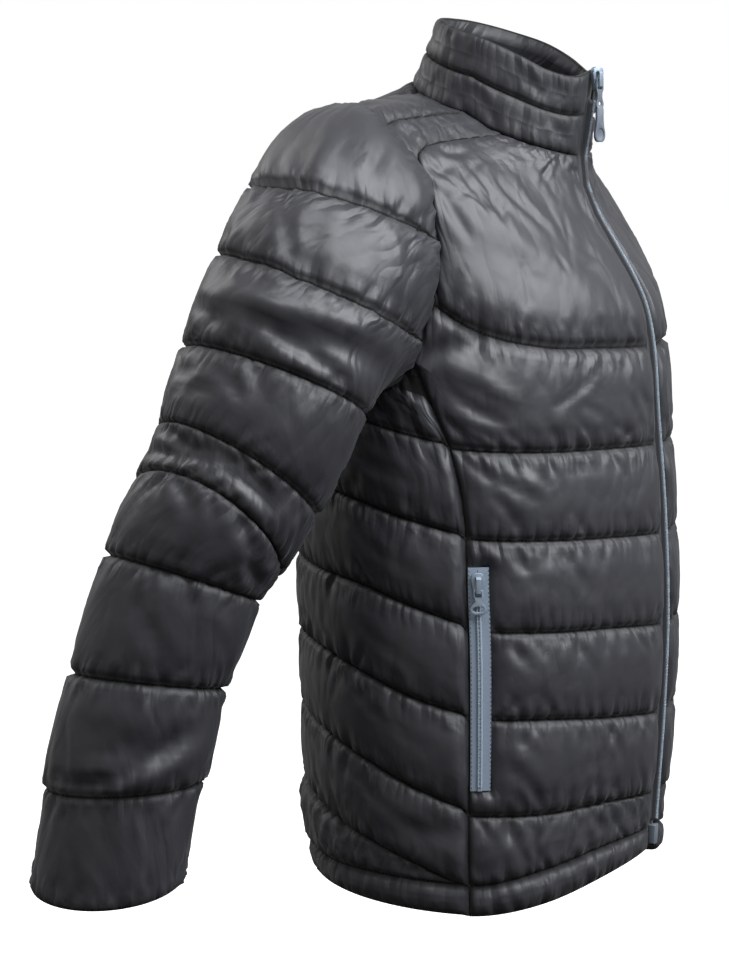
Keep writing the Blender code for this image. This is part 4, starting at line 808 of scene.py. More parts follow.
def arc_lengths(points):
    """Distances along the first axis of a grid of points."""
    lengths = np.linalg.norm(np.diff(points, axis=0), axis=-1)
    return np.concatenate([np.zeros((1,) + lengths.shape[1:]), np.cumsum(lengths, axis=0)])


def neck_thinning(levels):
    """The share of the padding that is left at each level: it thins from the chest to the neck."""
    low, high = CHEST_THINS
    return 1 - (1 - CHEST_PADDING) * np.clip((levels - low) / (high - low), 0, 1)


def underarm_fade(points):
    """Less padding where the sleeve and the body lie close together under the arm."""
    distance = np.linalg.norm(points - torso(*armhole(0.0)), axis=-1)
    return 1 - UNDERARM_THINNING * np.exp(-((distance / UNDERARM_REACH) ** 2))


def front_panel():
    """The right front: rows from the hem to the neck, columns from the zip to the side."""
    over_chest = channel_rows(OVER_CHEST_ROWS)
    turns = subdivided([CORNER_TURN, CHEST_TURN, YOKE_FRONT_TURN], (HALF, over_chest))
    seam_angles, seam_levels = seam_path(SEAM_LEVELS[:-1])
    arm_angles, arm_levels = armhole(turns)
    yoke_angles, yoke_levels = yoke_point(YOKE_FRONT_TURN, YOKE_FRONT_ANGLE, YOKE_SHARES[1:])
    edge_angles = np.concatenate([seam_angles, arm_angles, yoke_angles])
    edge_levels = np.concatenate([seam_levels, arm_levels, yoke_levels])
    places = place_among(FRONT_LINES, edge_angles, edge_levels)
    places[-1] = len(FRONT_NAMES)
    count = column_count(FRONT_WIDTH)
    side_count = column_count(TAPE_WIDTH)
    angles = []
    levels = []
    for edge_angle, edge_level, place in zip(edge_angles, edge_levels, places):
        zip_side = float(zip_angle(level_at(FRONT_LINES, np.array([ZIP_SIDE_ANGLE]), place))[0])
        inner = np.linspace(zip_side, edge_angle - TAPE_ANGLE, count + 1)
        outer = np.linspace(edge_angle - TAPE_ANGLE, edge_angle, side_count + 1)[1:]
        row_angles = np.concatenate([inner, outer])
        row_levels = level_at(FRONT_LINES, row_angles, place)
        row_levels[-1] = edge_level
        angles.append(row_angles)
        levels.append(row_levels)
    angles, levels = np.array(angles), np.array(levels)
    base = torso(angles, levels)
    normals = torso_normal(angles, levels)
    first_turn = len(seam_angles)
    normals[first_turn : first_turn + len(turns), -1] = seam_direction(turns)
    normals[-1] = neck_direction(angles[-1])
    line_rows = [int(np.argmin(np.abs(places - place))) for place in range(len(FRONT_NAMES) + 1)]
    panel = Panel("front", base, normals, line_rows)
    panel.pad(BODY_PUFF)
    tape_edge = panel.along[:, count : count + 1] - panel.along
    pocket = eased((levels - POCKET_LOW) / POCKET_BLEND + 1)
    pocket *= eased((POCKET_HIGH - levels) / POCKET_BLEND + 1)
    beside_tape = np.minimum(panel.along, np.maximum(tape_edge, 0))
    beside = panel.side * (1 - pocket) + beside_tape * pocket
    fade = rounded(beside / SEAM_REACH)
    panel.lift *= underarm_fade(base) * neck_thinning(levels)
    panel.lift = np.maximum((panel.lift + panel.fold(torso, FRONT_FOLDS)) * fade, 0)
    return panel


def both_halves(half, sign=1):
    """A grid of the back's right half joined to its mirror image."""
    return np.concatenate([half, (half * sign)[:, -2::-1]], axis=1)


def back_panel():
    """The back: rows from the hem to the neck, columns from side-front seam to side-front seam."""
    chest, blade = BACK_NAMES.index("chest"), BACK_NAMES.index("blade")
    stops = [*range(chest), ARMPIT_PLACE, chest, CORNER_PLACE, blade, YOKE_BACK_PLACE]
    wedge = even_rows(WEDGE_ROWS)
    over = even_rows(CHANNEL_ROWS * 2 // 3)
    spans = (HEM, wedge) + SEAM_SPANS[1:] + (over, over)
    places = subdivided(stops, spans)
    yoke_angles, yoke_levels = yoke_point(YOKE_BACK_TURN, YOKE_BACK_ANGLE, YOKE_SHARES[1:])
    places = np.append(places, place_among(BACK_LINES, yoke_angles, yoke_levels))
    places[-1] = len(BACK_NAMES)
    armpit_row = int(np.argmin(np.abs(places - ARMPIT_PLACE)))
    corner_row = int(np.argmin(np.abs(places - CORNER_PLACE)))
    yoke_row = len(places) - len(YOKE_SHARES)
    under_turns = np.linspace(CORNER_TURN, 0, UNDER_COLUMNS + 1)
    under_angles, under_levels = armhole(under_turns)
    under_places = place_among(BACK_LINES, under_angles, under_levels)
    under_shares = (under_angles - under_angles[0]) / (under_angles[-1] - under_angles[0])
    main_count = column_count(BACK_HALF_WIDTH)
    first = UNDER_COLUMNS + 1
    angles = np.zeros((len(places), first + main_count + 1))
    levels = np.zeros_like(angles)
    turns = {}
    for row, place in enumerate(places):
        seam_row = row if row <= HEM_ROWS else max(row - WEDGE_ROWS, HEM_ROWS)
        if row < corner_row:
            start_angle, start_level = [float(value) for value in seam_path(SEAM_LEVELS[seam_row])]
        else:
            start_angle, start_level = under_angles[0], under_levels[0]
        here = start_angle + (under_angles[-1] - start_angle) * under_shares
        here_levels = level_at(BACK_LINES, here, place)
        here_levels[0] = start_level
        collapsed = place > under_places - 1e-9
        angles[row, :first] = np.where(collapsed, under_angles, here)
        levels[row, :first] = np.where(collapsed, under_levels, here_levels)
        for column in np.nonzero(collapsed)[0]:
            turns[row, int(column)] = under_turns[column]
        if row < armpit_row:
            edge_angle = under_angles[-1]
            edge_level = float(level_at(BACK_LINES, np.array([edge_angle]), place)[0])
        elif row <= yoke_row:
            if row == armpit_row:
                turn = 0.0
            elif row == yoke_row:
                turn = YOKE_BACK_TURN
            else:
                turn = 360 - crossing(BACK_LINES, place, back_armhole, 0.0, 360 - YOKE_BACK_TURN)
            turns[row, first] = turn
            edge_angle, edge_level = [float(value) for value in armhole(turn)]
        else:
            share = YOKE_SHARES[row - yoke_row]
            edge_angle, edge_level = yoke_point(YOKE_BACK_TURN, YOKE_BACK_ANGLE, share)
        angles[row, first:] = np.linspace(edge_angle, 180, main_count + 1)
        levels[row, first:] = level_at(BACK_LINES, angles[row, first:], place)
        levels[row, first] = edge_level
    base = torso(angles, levels)
    normals = torso_normal(angles, levels)
    for place, turn in turns.items():
        normals[place] = seam_direction(turn)
    normals[-1, first:] = neck_direction(angles[-1, first:])
    mirror = np.array(signs("left"))
    line_rows = [int(np.argmin(np.abs(places - place))) for place in range(len(BACK_NAMES) + 1)]
    across = 2 * angles.shape[1] - 1
    splits = (UNDER_COLUMNS, across - 2 - UNDER_COLUMNS)
    panel = Panel("back", both_halves(base, mirror), both_halves(normals, mirror), line_rows, splits=splits)
    panel.pad(BODY_PUFF)
    side = np.zeros_like(angles)
    for row in range(len(places)):
        start = 0 if row <= armpit_row else first
        side[row, start:] = arc_lengths(base[row, start:])
    panel.side = both_halves(side)
    panel.lift *= underarm_fade(panel.base) * neck_thinning(both_halves(levels))
    panel.lift = np.maximum(panel.lift + panel.fold(torso, BACK_FOLDS), 0)
    panel.lift *= rounded(panel.side / SEAM_REACH)
    return panel


def yoke_panel():
    """The right shoulder yoke: rows from the front seam to the back seam, columns from arm to neck."""
    spans = (channel_rows(CHANNEL_ROWS * 2 // 3), FULL)
    turns = subdivided([YOKE_FRONT_TURN, YOKE_RIDGE_TURN, YOKE_BACK_TURN], spans)
    necks = subdivided([YOKE_FRONT_ANGLE, YOKE_RIDGE_ANGLE, YOKE_BACK_ANGLE], spans)
    arm_angles, arm_levels = armhole(turns)
    shares = np.linspace(0, 1, column_count(YOKE_WIDTH) + 1)
    angles = arm_angles[:, None] + (necks - arm_angles)[:, None] * shares
    levels = arm_levels[:, None] * (1 - shares)
    base = torso(angles, levels)
    normals = torso_normal(angles, levels)
    normals[:, 0] = seam_direction(turns)
    normals[:, -1] = neck_direction(angles[:, -1])
    panel = Panel("shoulder", base, normals, span_ends(spans))
    panel.pad(BODY_PUFF)
    panel.lift *= rounded(panel.side / SEAM_REACH) * neck_thinning(levels)
    return panel


def cap_places(turn):
    """Where the two slanting quilt lines cross the sleeve head, as places from the armhole."""
    shares = np.linspace(0, 1, CAP_STATIONS)
    path = sleeve(np.full_like(shares, turn), shares)
    found = [0.0]
    for line in CAP_LINES.values():
        beyond = (path - np.array(line["point"])) @ unit(np.array(line["normal"])) > 0
        found.append(float(shares[np.argmax(beyond)]) if beyond.any() else 1.0)
    return np.maximum.accumulate(found + [1.0])


def sleeve_panel():
    """The right sleeve: rows from the armhole to the cuff, columns right round the arm."""
    turns = np.linspace(0, 360, column_count(SLEEVE_GIRTH), endpoint=False)
    rings = len(SLEEVE["x"])
    arm = subdivided(np.arange(1.0, rings + 1), (FULL,) * (rings - 1))
    cap_rows = channel_rows(CHANNEL_ROWS - 2)
    stops = np.array([cap_places(turn) for turn in np.append(turns, 360.0)])
    smooth = (np.roll(stops[:-1], 1, 0) + stops[:-1] + np.roll(stops[:-1], -1, 0)) / 3
    places = np.array([np.concatenate([subdivided(stop, (cap_rows,) * 3)[:-1], arm]) for stop in smooth]).T
    line_rows = span_ends((cap_rows,) * 3 + (FULL,) * (rings - 1))
    turns = np.broadcast_to(turns, places.shape)
    base = sleeve(turns, places)
    normals = sleeve_normal(turns, places)
    at_armhole = places < 1e-6
    normals[at_armhole] = seam_direction(turns[at_armhole])
    panel = Panel("sleeve", base, normals, line_rows, wrap=True)
    panel.side[:] = 1.0
    panel.pad(SLEEVE_PUFF)
    panel.lift *= underarm_fade(base)
    panel.lift[line_rows[-2] :] *= CUFF_PUFF / SLEEVE_PUFF
    panel.lift = np.maximum(panel.lift + panel.fold(sleeve, SLEEVE_FOLDS), 0)
    panel.lift[[0, -1]] = 0
    return panel


def collar_panel():
    """The collar: rows from the neck seam to the top edge, columns from zip edge to zip edge."""
    rows = channel_rows(COLLAR_ROWS)
    zip_side = float(zip_angle(0.0))
    angles = np.linspace(zip_side, 360 - zip_side, column_count(COLLAR_GIRTH) + 1)
    shares = subdivided([0, COLLAR_LINE, 1.0], (rows, rows))
    angles, shares = np.meshgrid(angles, shares)
    base = collar_surface(angles, shares)
    normals = collar_normal(angles, shares)
    normals[0] = neck_direction(angles[0])
    panel = Panel("collar", base, normals, span_ends((rows, rows)))
    panel.pad(COLLAR_PUFF)
    panel.lift *= rounded(panel.side / SEAM_REACH)
    return panel


# Shells.


def cell_faces(panel, numbers, row_pairs):
    """The faces of a grid between pairs of rows, and the row and column of each face's corners."""
    rows, across = numbers.shape
    faces, corners = [], []
    for low, high in row_pairs:
        for left in range(across if panel.wrap else across - 1):
            if left in panel.splits:
                continue
            right = (left + 1) % across
            places = [(low, left), (low, right), (high, right), (high, left)]
            ring = [numbers[place] for place in places]
            kept = [index for index in range(4) if ring[index] != ring[index - 1]]
            if panel.wrap:
                kept.reverse()
            face = [int(ring[index]) for index in kept]
            if len(face) >= 3 and len(set(face)) == len(face):
                faces.append(face)
                last = left == across - 1
                wrapped = [(row, across if last and column == 0 else column) for row, column in places]
                corners.append([wrapped[index] for index in kept])
    return faces, corners


def border_loops(faces):
    """The open borders of a set of faces, as loops of point numbers."""
    edges = {(a, b) for face in faces for a, b in zip(face, face[1:] + face[:1])}
    follows = {a: b for a, b in edges if (b, a) not in edges}
    loops = []
    while follows:
        start = min(follows)
        loop = [start]
        after = follows.pop(start)
        while after != start:
            loop.append(after)
            after = follows.pop(after)
        loops.append(loop)
    return loops


def inset_border(points, normals, faces, loops):
    """Moves the points of the open borders inwards along the surface by half a seam gap."""
    on_border = {corner for loop in loops for corner in loop}
    centre = {}
    for face in faces:
        if not on_border.isdisjoint(face):
            middle = points[face].mean(0)
            for corner in face:
                centre.setdefault(corner, []).append(middle)
    moved = points.copy()
    for loop in loops:
        for before, corner, after in zip(loop[-1:] + loop[:-1], loop, loop[1:] + loop[:1]):
            inwards = np.mean(centre[corner], 0) - points[corner]
            sides = []
            for other in (before, after):
                side = np.cross(normals[corner], unit(points[other] - points[corner]))
                sides.append(unit(side) * np.sign(side @ inwards))
            shift = sides[0] + sides[1]
            moved[corner] += HALF_GAP * shift / max(1 + sides[0] @ sides[1], MITRE_LIMIT)
    return moved


def edge_strip(loop, inner_number):
    """Faces of the wall's edge between an outer border loop and the fewer inner points below it."""
    first = next(place for place, corner in enumerate(loop) if corner in inner_number)
    loop = loop[first:] + loop[: first + 1]
    stops = [place for place, corner in enumerate(loop) if corner in inner_number]
    faces = []
    for start, end in zip(stops, stops[1:]):
        span = loop[start : end + 1]
        behind, ahead = inner_number[span[0]], inner_number[span[-1]]
        middle = len(span) // 2
        if len(span) == 2:
            faces.append([span[1], span[0], behind, ahead])
            continue
        faces.append([span[middle], behind, ahead])
        for place, (here, after) in enumerate(zip(span, span[1:])):
            faces.append([after, here, behind if place < middle else ahead])
    return faces


def placed(name, data):
    """A new object of the scene, at the origin."""
    thing = bpy.data.objects.new(name, data)
    bpy.context.scene.collection.objects.link(thing)
    return thing


class Shell:
    """A panel's closed wall as an object, with the numbers of its outer points on the panel's grid."""

    def __init__(self, panel, name, side):
        self.panel = panel
        self.side = side
        rows = panel.base.shape[0]
        flat, first_place, numbers = np.unique(
            np.round(panel.base.reshape(-1, 3), 6), axis=0, return_index=True, return_inverse=True
        )
        self.numbers = numbers.reshape(panel.base.shape[:2])
        count = len(flat)

        def pick(grid):
            return grid.reshape(-1, *grid.shape[2:])[first_place]

        base, normals, lift = pick(panel.base), pick(panel.normals), pick(panel.lift)
        outer, corners = cell_faces(panel, self.numbers, list(zip(range(rows - 1), range(1, rows))))
        inner_rows = sorted(set(panel.line_rows) | set(range(0, rows, INNER_STEP)) | {rows - 1})
        inner, _ = cell_faces(panel, self.numbers, list(zip(inner_rows, inner_rows[1:])))
        loops = border_loops(outer)
        base = inset_border(base, normals, outer, loops)
        used = sorted({corner for face in inner for corner in face})
        inner_number = {corner: count + place for place, corner in enumerate(used)}
        faces = [list(face) for face in outer]
        faces += [[inner_number[corner] for corner in reversed(face)] for face in inner]
        for loop in loops:
            faces += edge_strip(loop, inner_number)
        points = np.concatenate([base + normals * (WALL + lift)[:, None], base[used]])
        self.outer_count = count
        self.border = np.array(sorted({corner for loop in loops for corner in loop}))
        self.values = {}
        for value_name in ("along", "up", "quilt", "side"):
            picked = pick(getattr(panel, value_name))
            self.values[value_name] = np.concatenate([picked, picked[used]])
        self.values["outer"] = np.concatenate([np.ones(count), np.zeros(len(used))])
        points = points * signs(side)
        mirrored = side == "left"
        if mirrored:
            faces = [face[::-1] for face in faces]
        mesh = bpy.data.meshes.new(name)
        mesh.from_pydata(points.tolist(), [], faces)
        uv = mesh.uv_layers.new(name="cloth")
        girth = panel.along[:, -1] + np.linalg.norm(panel.base[:, -1] - panel.base[:, 0], axis=-1)
        along = np.column_stack([panel.along, girth])
        up = np.column_stack([panel.up, panel.up[:, 0]])
        flat_uv = []
        for corner in corners:
            ring = [(along[place], up[place]) for place in corner]
            flat_uv += ring[::-1] if mirrored else ring
        whole = np.zeros((len(mesh.loops), 2))
        whole[: len(flat_uv)] = flat_uv
        loop_points = np.zeros(len(mesh.loops), int)
        mesh.loops.foreach_get("vertex_index", loop_points)
        rest = slice(len(flat_uv), len(mesh.loops))
        whole[rest, 0] = self.values["along"][loop_points[rest]]
        whole[rest, 1] = self.values["up"][loop_points[rest]]
        uv.data.foreach_set("uv", whole.ravel())
        for value_name, values in self.values.items():
            attribute = mesh.attributes.new(value_name, "FLOAT", "POINT")
            attribute.data.foreach_set("value", values.astype(np.float32))
        mesh.shade_smooth()
        self.object = placed(name, mesh)

    def points(self, mesh=None):
        """The places of a mesh's points, of this shell's own one by default."""
        mesh = mesh or self.object.data
        flat = np.zeros(len(mesh.vertices) * 3)
        mesh.vertices.foreach_get("co", flat)
        return flat.reshape(-1, 3)

    def move(self, points):
        """Puts this shell's points in new places."""
        self.object.data.vertices.foreach_set("co", np.ravel(points))
        self.object.data.update()

    def outwards(self):
        """The outward directions on the panel's grid, on this shell's own side."""
        return self.panel.normals * signs(self.side)

    def stitch_lines(self):
        """The quilt lines between the panel's edges, as paths just above the cloth."""
        points = self.points()
        outs = self.outwards()
        lines = []
        for row in self.panel.line_rows[1:-1]:
            numbers = self.numbers[row]
            kept = np.append(True, numbers[1:] != numbers[:-1])
            path = points[numbers[kept]] + outs[row][kept] * STITCH_RISE
            lines.append((path, outs[row][kept], self.panel.wrap))
        return lines

    def loose(self):
        """Which points may move: those of the outer layer that no stitching holds."""
        held = np.zeros(len(self.object.data.vertices), bool)
        held[self.outer_count :] = True
        held[self.border] = True
        for row in self.panel.line_rows:
            held[self.numbers[row]] = True
        return ~held


def settle(shells):
    """Lets the padded cloth settle between its seams, with more cloth than its smooth form needs."""
    scene = bpy.context.scene
    chance = np.random.default_rng(SETTLE_SEED)
    starts = []
    for shell in shells:
        thing = shell.object
        start = shell.points()
        starts.append(start)
        free = shell.loose()
        shell.move(start + free[:, None] * chance.normal(0, UNEVEN, start.shape))
        sewn = thing.vertex_groups.new(name="sewn")
        sewn.add(np.nonzero(~free)[0].tolist(), 1.0, "REPLACE")
        cloth = thing.modifiers.new("settle", "CLOTH")
        settings = cloth.settings
        for name, value in CLOTH.items():
            setattr(settings, name, value)
        settings.vertex_group_mass = "sewn"
        settings.effector_weights.gravity = 0
        cloth.collision_settings.use_collision = False
        cloth.point_cache.frame_start = 1
        cloth.point_cache.frame_end = FRAMES
    for frame_number in range(1, FRAMES + 1):
        scene.frame_set(frame_number)
    graph = bpy.context.evaluated_depsgraph_get()
    for shell, start in zip(shells, starts):
        settled = shell.points(shell.object.evaluated_get(graph).data)
        shift = settled - start
        length = np.linalg.norm(shift, axis=1, keepdims=True)
        capped = FARTHEST * np.tanh(length / FARTHEST) / np.maximum(length, 1e-9)
        grip = eased(np.minimum(shell.values["quilt"], shell.values["side"]) / SEAM_GRIP)
        shell.settled = start + shift * capped * grip[:, None]
    for shell in shells:
        shell.object.modifiers.clear()
        shell.object.vertex_groups.clear()
        shell.move(shell.settled)
    scene.frame_set(1)


def crumple(shell, creases, seed):
    """Lays creases and tucks into a shell's settled cloth. The left side's lie a little elsewhere."""
    panel = shell.panel
    chance = np.random.default_rng(seed)
    height = panel.crease(creases, LEFT_DRIFT if shell.side == "left" else 0.0)
    gathered = COLLAR_CALM if panel.name == "collar" else 1.0
    height += (panel.tucks(chance) + panel.slack(chance)) * gathered
    height[panel.line_rows] -= SEAM_DEPTH
    height *= eased(panel.side / SEAM_CALM)
    height[[0, -1]] = 0
    points = shell.points()
    outs = shell.outwards()
    thickness = ((points[shell.numbers] - panel.base * signs(shell.side)) * outs).sum(-1)
    kept = np.maximum(thickness + height, np.minimum(thickness, THINNEST)) - thickness
    shift = np.zeros((shell.outer_count, 3))
    shift[shell.numbers] = kept[..., None] * outs
    points[: shell.outer_count] += shift
    shell.move(points)


# Stitches and coils.


def feed(tree, socket, value):
    """Links another node's output to a socket, or gives the socket a value."""
    if isinstance(value, bpy.types.NodeSocket):
        tree.links.new(value, socket)
    else:
        socket.default_value = value


def add_node(tree, kind, settings=None, inputs=None):
    """Adds a node: its settings first, then the values or links of its sockets."""
    made = tree.nodes.new(kind)
    for name, value in (settings or {}).items():
        setattr(made, name, value)
    for name, value in (inputs or {}).items():
        feed(tree, made.inputs[name], value)
    return made


def sockets(tree, **kinds):
    """Gives a node group its inputs, in the order named, with a geometry first."""
    tree.interface.new_socket("Geometry", in_out="INPUT", socket_type="NodeSocketGeometry")
    for name, kind in kinds.items():
        tree.interface.new_socket(name, in_out="INPUT", socket_type=kind)
    tree.interface.new_socket("Geometry", in_out="OUTPUT", socket_type="NodeSocketGeometry")


def bead_tree():
    """Beads of one size along paths: each lies along its path with its back to the cloth."""
    tree = bpy.data.node_groups.new("beads along paths", "GeometryNodeTree")
    number, whole = "NodeSocketFloat", "NodeSocketInt"
    sockets(
        tree, Pitch=number, Length=number, Width=number, Height=number, Turn=number,
        Segments=whole, Rings=whole, Seed=whole, Material="NodeSocketMaterial",
    )

    def node(kind, settings=None, **inputs):
        """A node's first output. Sockets are named, or numbered after an underscore."""
        named = {int(name[1:]) if name[0] == "_" else name: value for name, value in inputs.items()}
        return add_node(tree, kind, settings, named).outputs[0]

    given = tree.nodes.new("NodeGroupInput").outputs
    line = node("GeometryNodeMeshToCurve", Mesh=given["Geometry"])
    spaced = node("GeometryNodeResampleCurve", {"mode": "LENGTH"}, Curve=line, Length=given["Pitch"])
    bead = node("GeometryNodeMeshUVSphere", Segments=given["Segments"], Rings=given["Rings"], Radius=0.5)
    out = node("GeometryNodeInputNamedAttribute", {"data_type": "FLOAT_VECTOR"}, Name="out")
    align, tangent = "FunctionNodeAlignRotationToVector", node("GeometryNodeInputTangent")
    upright = node(align, {"axis": "Z"}, Vector=out)
    lying = node(align, {"axis": "X", "pivot_axis": "Z"}, Rotation=upright, Vector=tangent)
    slant = node("FunctionNodeAxisAngleToRotation", Axis=(0, 0, 1), Angle=given["Turn"])
    rotate, local = "FunctionNodeRotateRotation", {"rotation_space": "LOCAL"}
    turned = node(rotate, local, Rotation=lying, _1=slant)
    size = node("ShaderNodeCombineXYZ", X=given["Length"], Y=given["Width"], Z=given["Height"])
    limits = {2: BEAD_SIZES[0], 3: BEAD_SIZES[1], "Seed": given["Seed"]}
    uneven = add_node(tree, "FunctionNodeRandomValue", {"data_type": "FLOAT"}, limits).outputs[1]
    scale = node("ShaderNodeVectorMath", {"operation": "SCALE"}, _0=size, Scale=uneven)
    place = {"Points": spaced, "Instance": bead, "Rotation": turned, "Scale": scale}
    spread = node("GeometryNodeInstanceOnPoints", **place)
    real = node("GeometryNodeRealizeInstances", Geometry=spread)
    smooth = node("GeometryNodeSetShadeSmooth", Geometry=real)
    painted = node("GeometryNodeSetMaterial", Geometry=smooth, Material=given["Material"])
    tree.links.new(painted, tree.nodes.new("NodeGroupOutput").inputs[0])
    return tree


def beads(name, tree, paths, **values):
    """A piece of beads along paths, each given as its points, its outward directions and if it closes."""
    points = np.concatenate([path[0] for path in paths])
    outs = np.concatenate([path[1] for path in paths])
    edges = []
    start = 0
    for path_points, _, closed in paths:
        count = len(path_points)
        edges += [(start + place, start + place + 1) for place in range(count - 1)]
        if closed:
            edges.append((start + count - 1, start))
        start += count
    mesh = bpy.data.meshes.new(name)
    mesh.from_pydata(points.tolist(), edges, [])
    mesh.attributes.new("out", "FLOAT_VECTOR", "POINT").data.foreach_set("vector", outs.ravel())
    thing = placed(name, mesh)
    laid = thing.modifiers.new("beads", "NODES")
    laid.node_group = tree
    for item in tree.interface.items_tree:
        if item.in_out == "INPUT" and item.name in values:
            laid[item.identifier] = values[item.name]
    graph = bpy.context.evaluated_depsgraph_get()
    thing.data = bpy.data.meshes.new_from_object(thing.evaluated_get(graph), depsgraph=graph)
    thing.modifiers.clear()
    return thing


def beside(points, outs, rise, aside, ahead):
    """A path moved out from the cloth, to one side of its own direction and along it."""
    direction = unit(np.gradient(points, axis=0))
    return points + outs * rise + np.cross(outs, direction) * aside + direction * ahead, outs, False


def front_coil(aside, ahead):
    """One row of the front zip's coil, from above the box to below the slider."""
    body_count, collar_count = FRONT_COIL_STATIONS
    levels = np.linspace(FRONT_COIL_FOOT, 0.0, body_count)
    shares = np.linspace(0.0, FRONT_COIL_TOP, collar_count)[1:]
    middle, collar_middle = np.zeros_like(levels), np.zeros_like(shares)
    points = np.concatenate([torso(middle, levels), collar_surface(collar_middle, shares)])
    outs = np.concatenate([torso_normal(middle, levels), collar_normal(collar_middle, shares)])
    return beside(points, outs, FRONT_COIL_RISE, aside, ahead)


def pocket_path(side, span, count, share):
    """Points and directions up a pocket zip's tape, at a share of its width from the side-front seam."""
    levels = np.linspace(*span, count)
    angles = spline(SIDE_SEAM["level"], SIDE_SEAM["angle"], levels)
    angles = angles - POCKET_TAPE_START - POCKET_TAPE_WIDTH * share
    return torso(angles, levels) * signs(side), torso_normal(angles, levels) * signs(side)


def pocket_coil(side, aside, ahead):
    """One row of a pocket zip's coil, below its slider."""
    path = pocket_path(side, POCKET_COIL_SPAN, POCKET_COIL_STATIONS, POCKET_COIL_SHARE)
    return beside(*path, POCKET_COIL_RISE, aside, ahead)


def pocket_seams(side):
    """The dark stitching along a pocket tape's edges and along its coil."""
    rows = []
    for share in POCKET_SEAM_SHARES:
        path = pocket_path(side, POCKET_SEAM_SPAN, POCKET_SEAM_STATIONS, share)
        rows.append(beside(*path, POCKET_SEAM_RISE, 0.0, 0.0))
    return rows


def coil_rows(path):
    """Both rows of a coil, half a turn apart, as the paths that a function of theirs gives."""
    half_turn = COIL["Pitch"] / 4
    return path(-COIL_HALF_SPACING, -half_turn), path(COIL_HALF_SPACING, half_turn)


def softened(original):
    """A copy of a hard CAD piece with its edges rounded over."""
    shape = bmesh.new()
    shape.from_mesh(original.data)
    bmesh.ops.remove_doubles(shape, verts=shape.verts, dist=SAME_POINT)
    bmesh.ops.dissolve_limit(shape, angle_limit=FLAT_ANGLE, verts=shape.verts, edges=shape.edges)
    sharp = [edge for edge in shape.edges if edge.is_manifold and edge.calc_face_angle() > SHARP_EDGE]
    bmesh.ops.bevel(
        shape, geom=sharp, offset=EDGE_ROUNDING, segments=2, profile=0.5, affect="EDGES", clamp_overlap=True
    )
    mesh = bpy.data.meshes.new(f"{original.name}_finish")
    shape.to_mesh(mesh)
    shape.free()
    mesh.shade_smooth()
    mesh.set_sharp_from_angle(angle=SMOOTH_BELOW)
    return placed(mesh.name, mesh)


# Materials.


class Value:
    """A shader node's output that Python's operators work on."""

    def __init__(self, shader, socket):
        self.shader = shader
        self.socket = socket

    def combine(self, operation, first, second):
        return self.shader.node("ShaderNodeMath", {"operation": operation}, {0: first, 1: second})

    def __add__(self, other):
        return self.combine("ADD", self, other)

    __radd__ = __add__

    def __mul__(self, other):
        return self.combine("MULTIPLY", self, other)

    __rmul__ = __mul__


class Shader:
    """A material and the nodes behind its Principled shader."""

    def __init__(self, name):
        self.material = bpy.data.materials.new(name)
        self.material.use_nodes = True
        self.tree = self.material.node_tree
        self.principled = self.tree.nodes["Principled BSDF"]

    def node(self, kind, settings=None, inputs=None, output=0):
        """Adds a node and gives one of its outputs."""
        plain = {name: getattr(value, "socket", value) for name, value in (inputs or {}).items()}
        return Value(self, add_node(self.tree, kind, settings, plain).outputs[output])

    def noise(self, vector, scale, detail, flat=False, output=0):
        """Even noise, flat over a UV map or solid."""
        settings = {"noise_dimensions": "2D" if flat else "3D"}
        inputs = {"Vector": vector, "Scale": scale, "Detail": detail}
        return self.node("ShaderNodeTexNoise", settings, inputs, output)

    def eased(self, value, low, high, start=0.0, end=1.0):
        """A smooth step from start to end between two values."""
        inputs = {"Value": value, "From Min": low, "From Max": high, "To Min": start, "To Max": end}
        return self.node("ShaderNodeMapRange", {"interpolation_type": "SMOOTHSTEP"}, inputs)

    def mix(self, share, first, second):
        """A colour between two."""
        return self.node("ShaderNodeMix", {"data_type": "RGBA"}, {0: share, 6: first, 7: second}, 2)

    def bump(self, height):
        """A normal from a height in metres."""
        return self.node("ShaderNodeBump", {}, {"Strength": 1.0, "Distance": 1.0, "Height": height})

    def finish(self, **sockets):
        """Sets the shader's sockets, named with underscores for spaces."""
        for name, value in sockets.items():
            feed(self.tree, self.principled.inputs[name.replace("_", " ")], getattr(value, "socket", value))
        return self.material


# The nylon's colour, the near-black of the painted shade in its seam grooves, and the heights of its bump
# in metres.
CLOTH_COLOUR = (0.026, 0.026, 0.031, 1)
# The near-black of the painted shade in the seam grooves.
PAINTED_SEAM_SHADE = (0.001, 0.001, 0.001, 1)
WAVER = (0.018, 0.018, 0)
PATCH_EDGES = (0.42, 0.66)
BROAD_HEIGHT = 0.0010
FACET_HEIGHT = 0.0016
CRINKLE_HEIGHT = 0.0011
GATHER_HEIGHT = 0.0030
TUCK_HEIGHT = 0.0024
WEAVE_HEIGHT = 0.00002
CLOTH_ROUGHNESS = 0.39


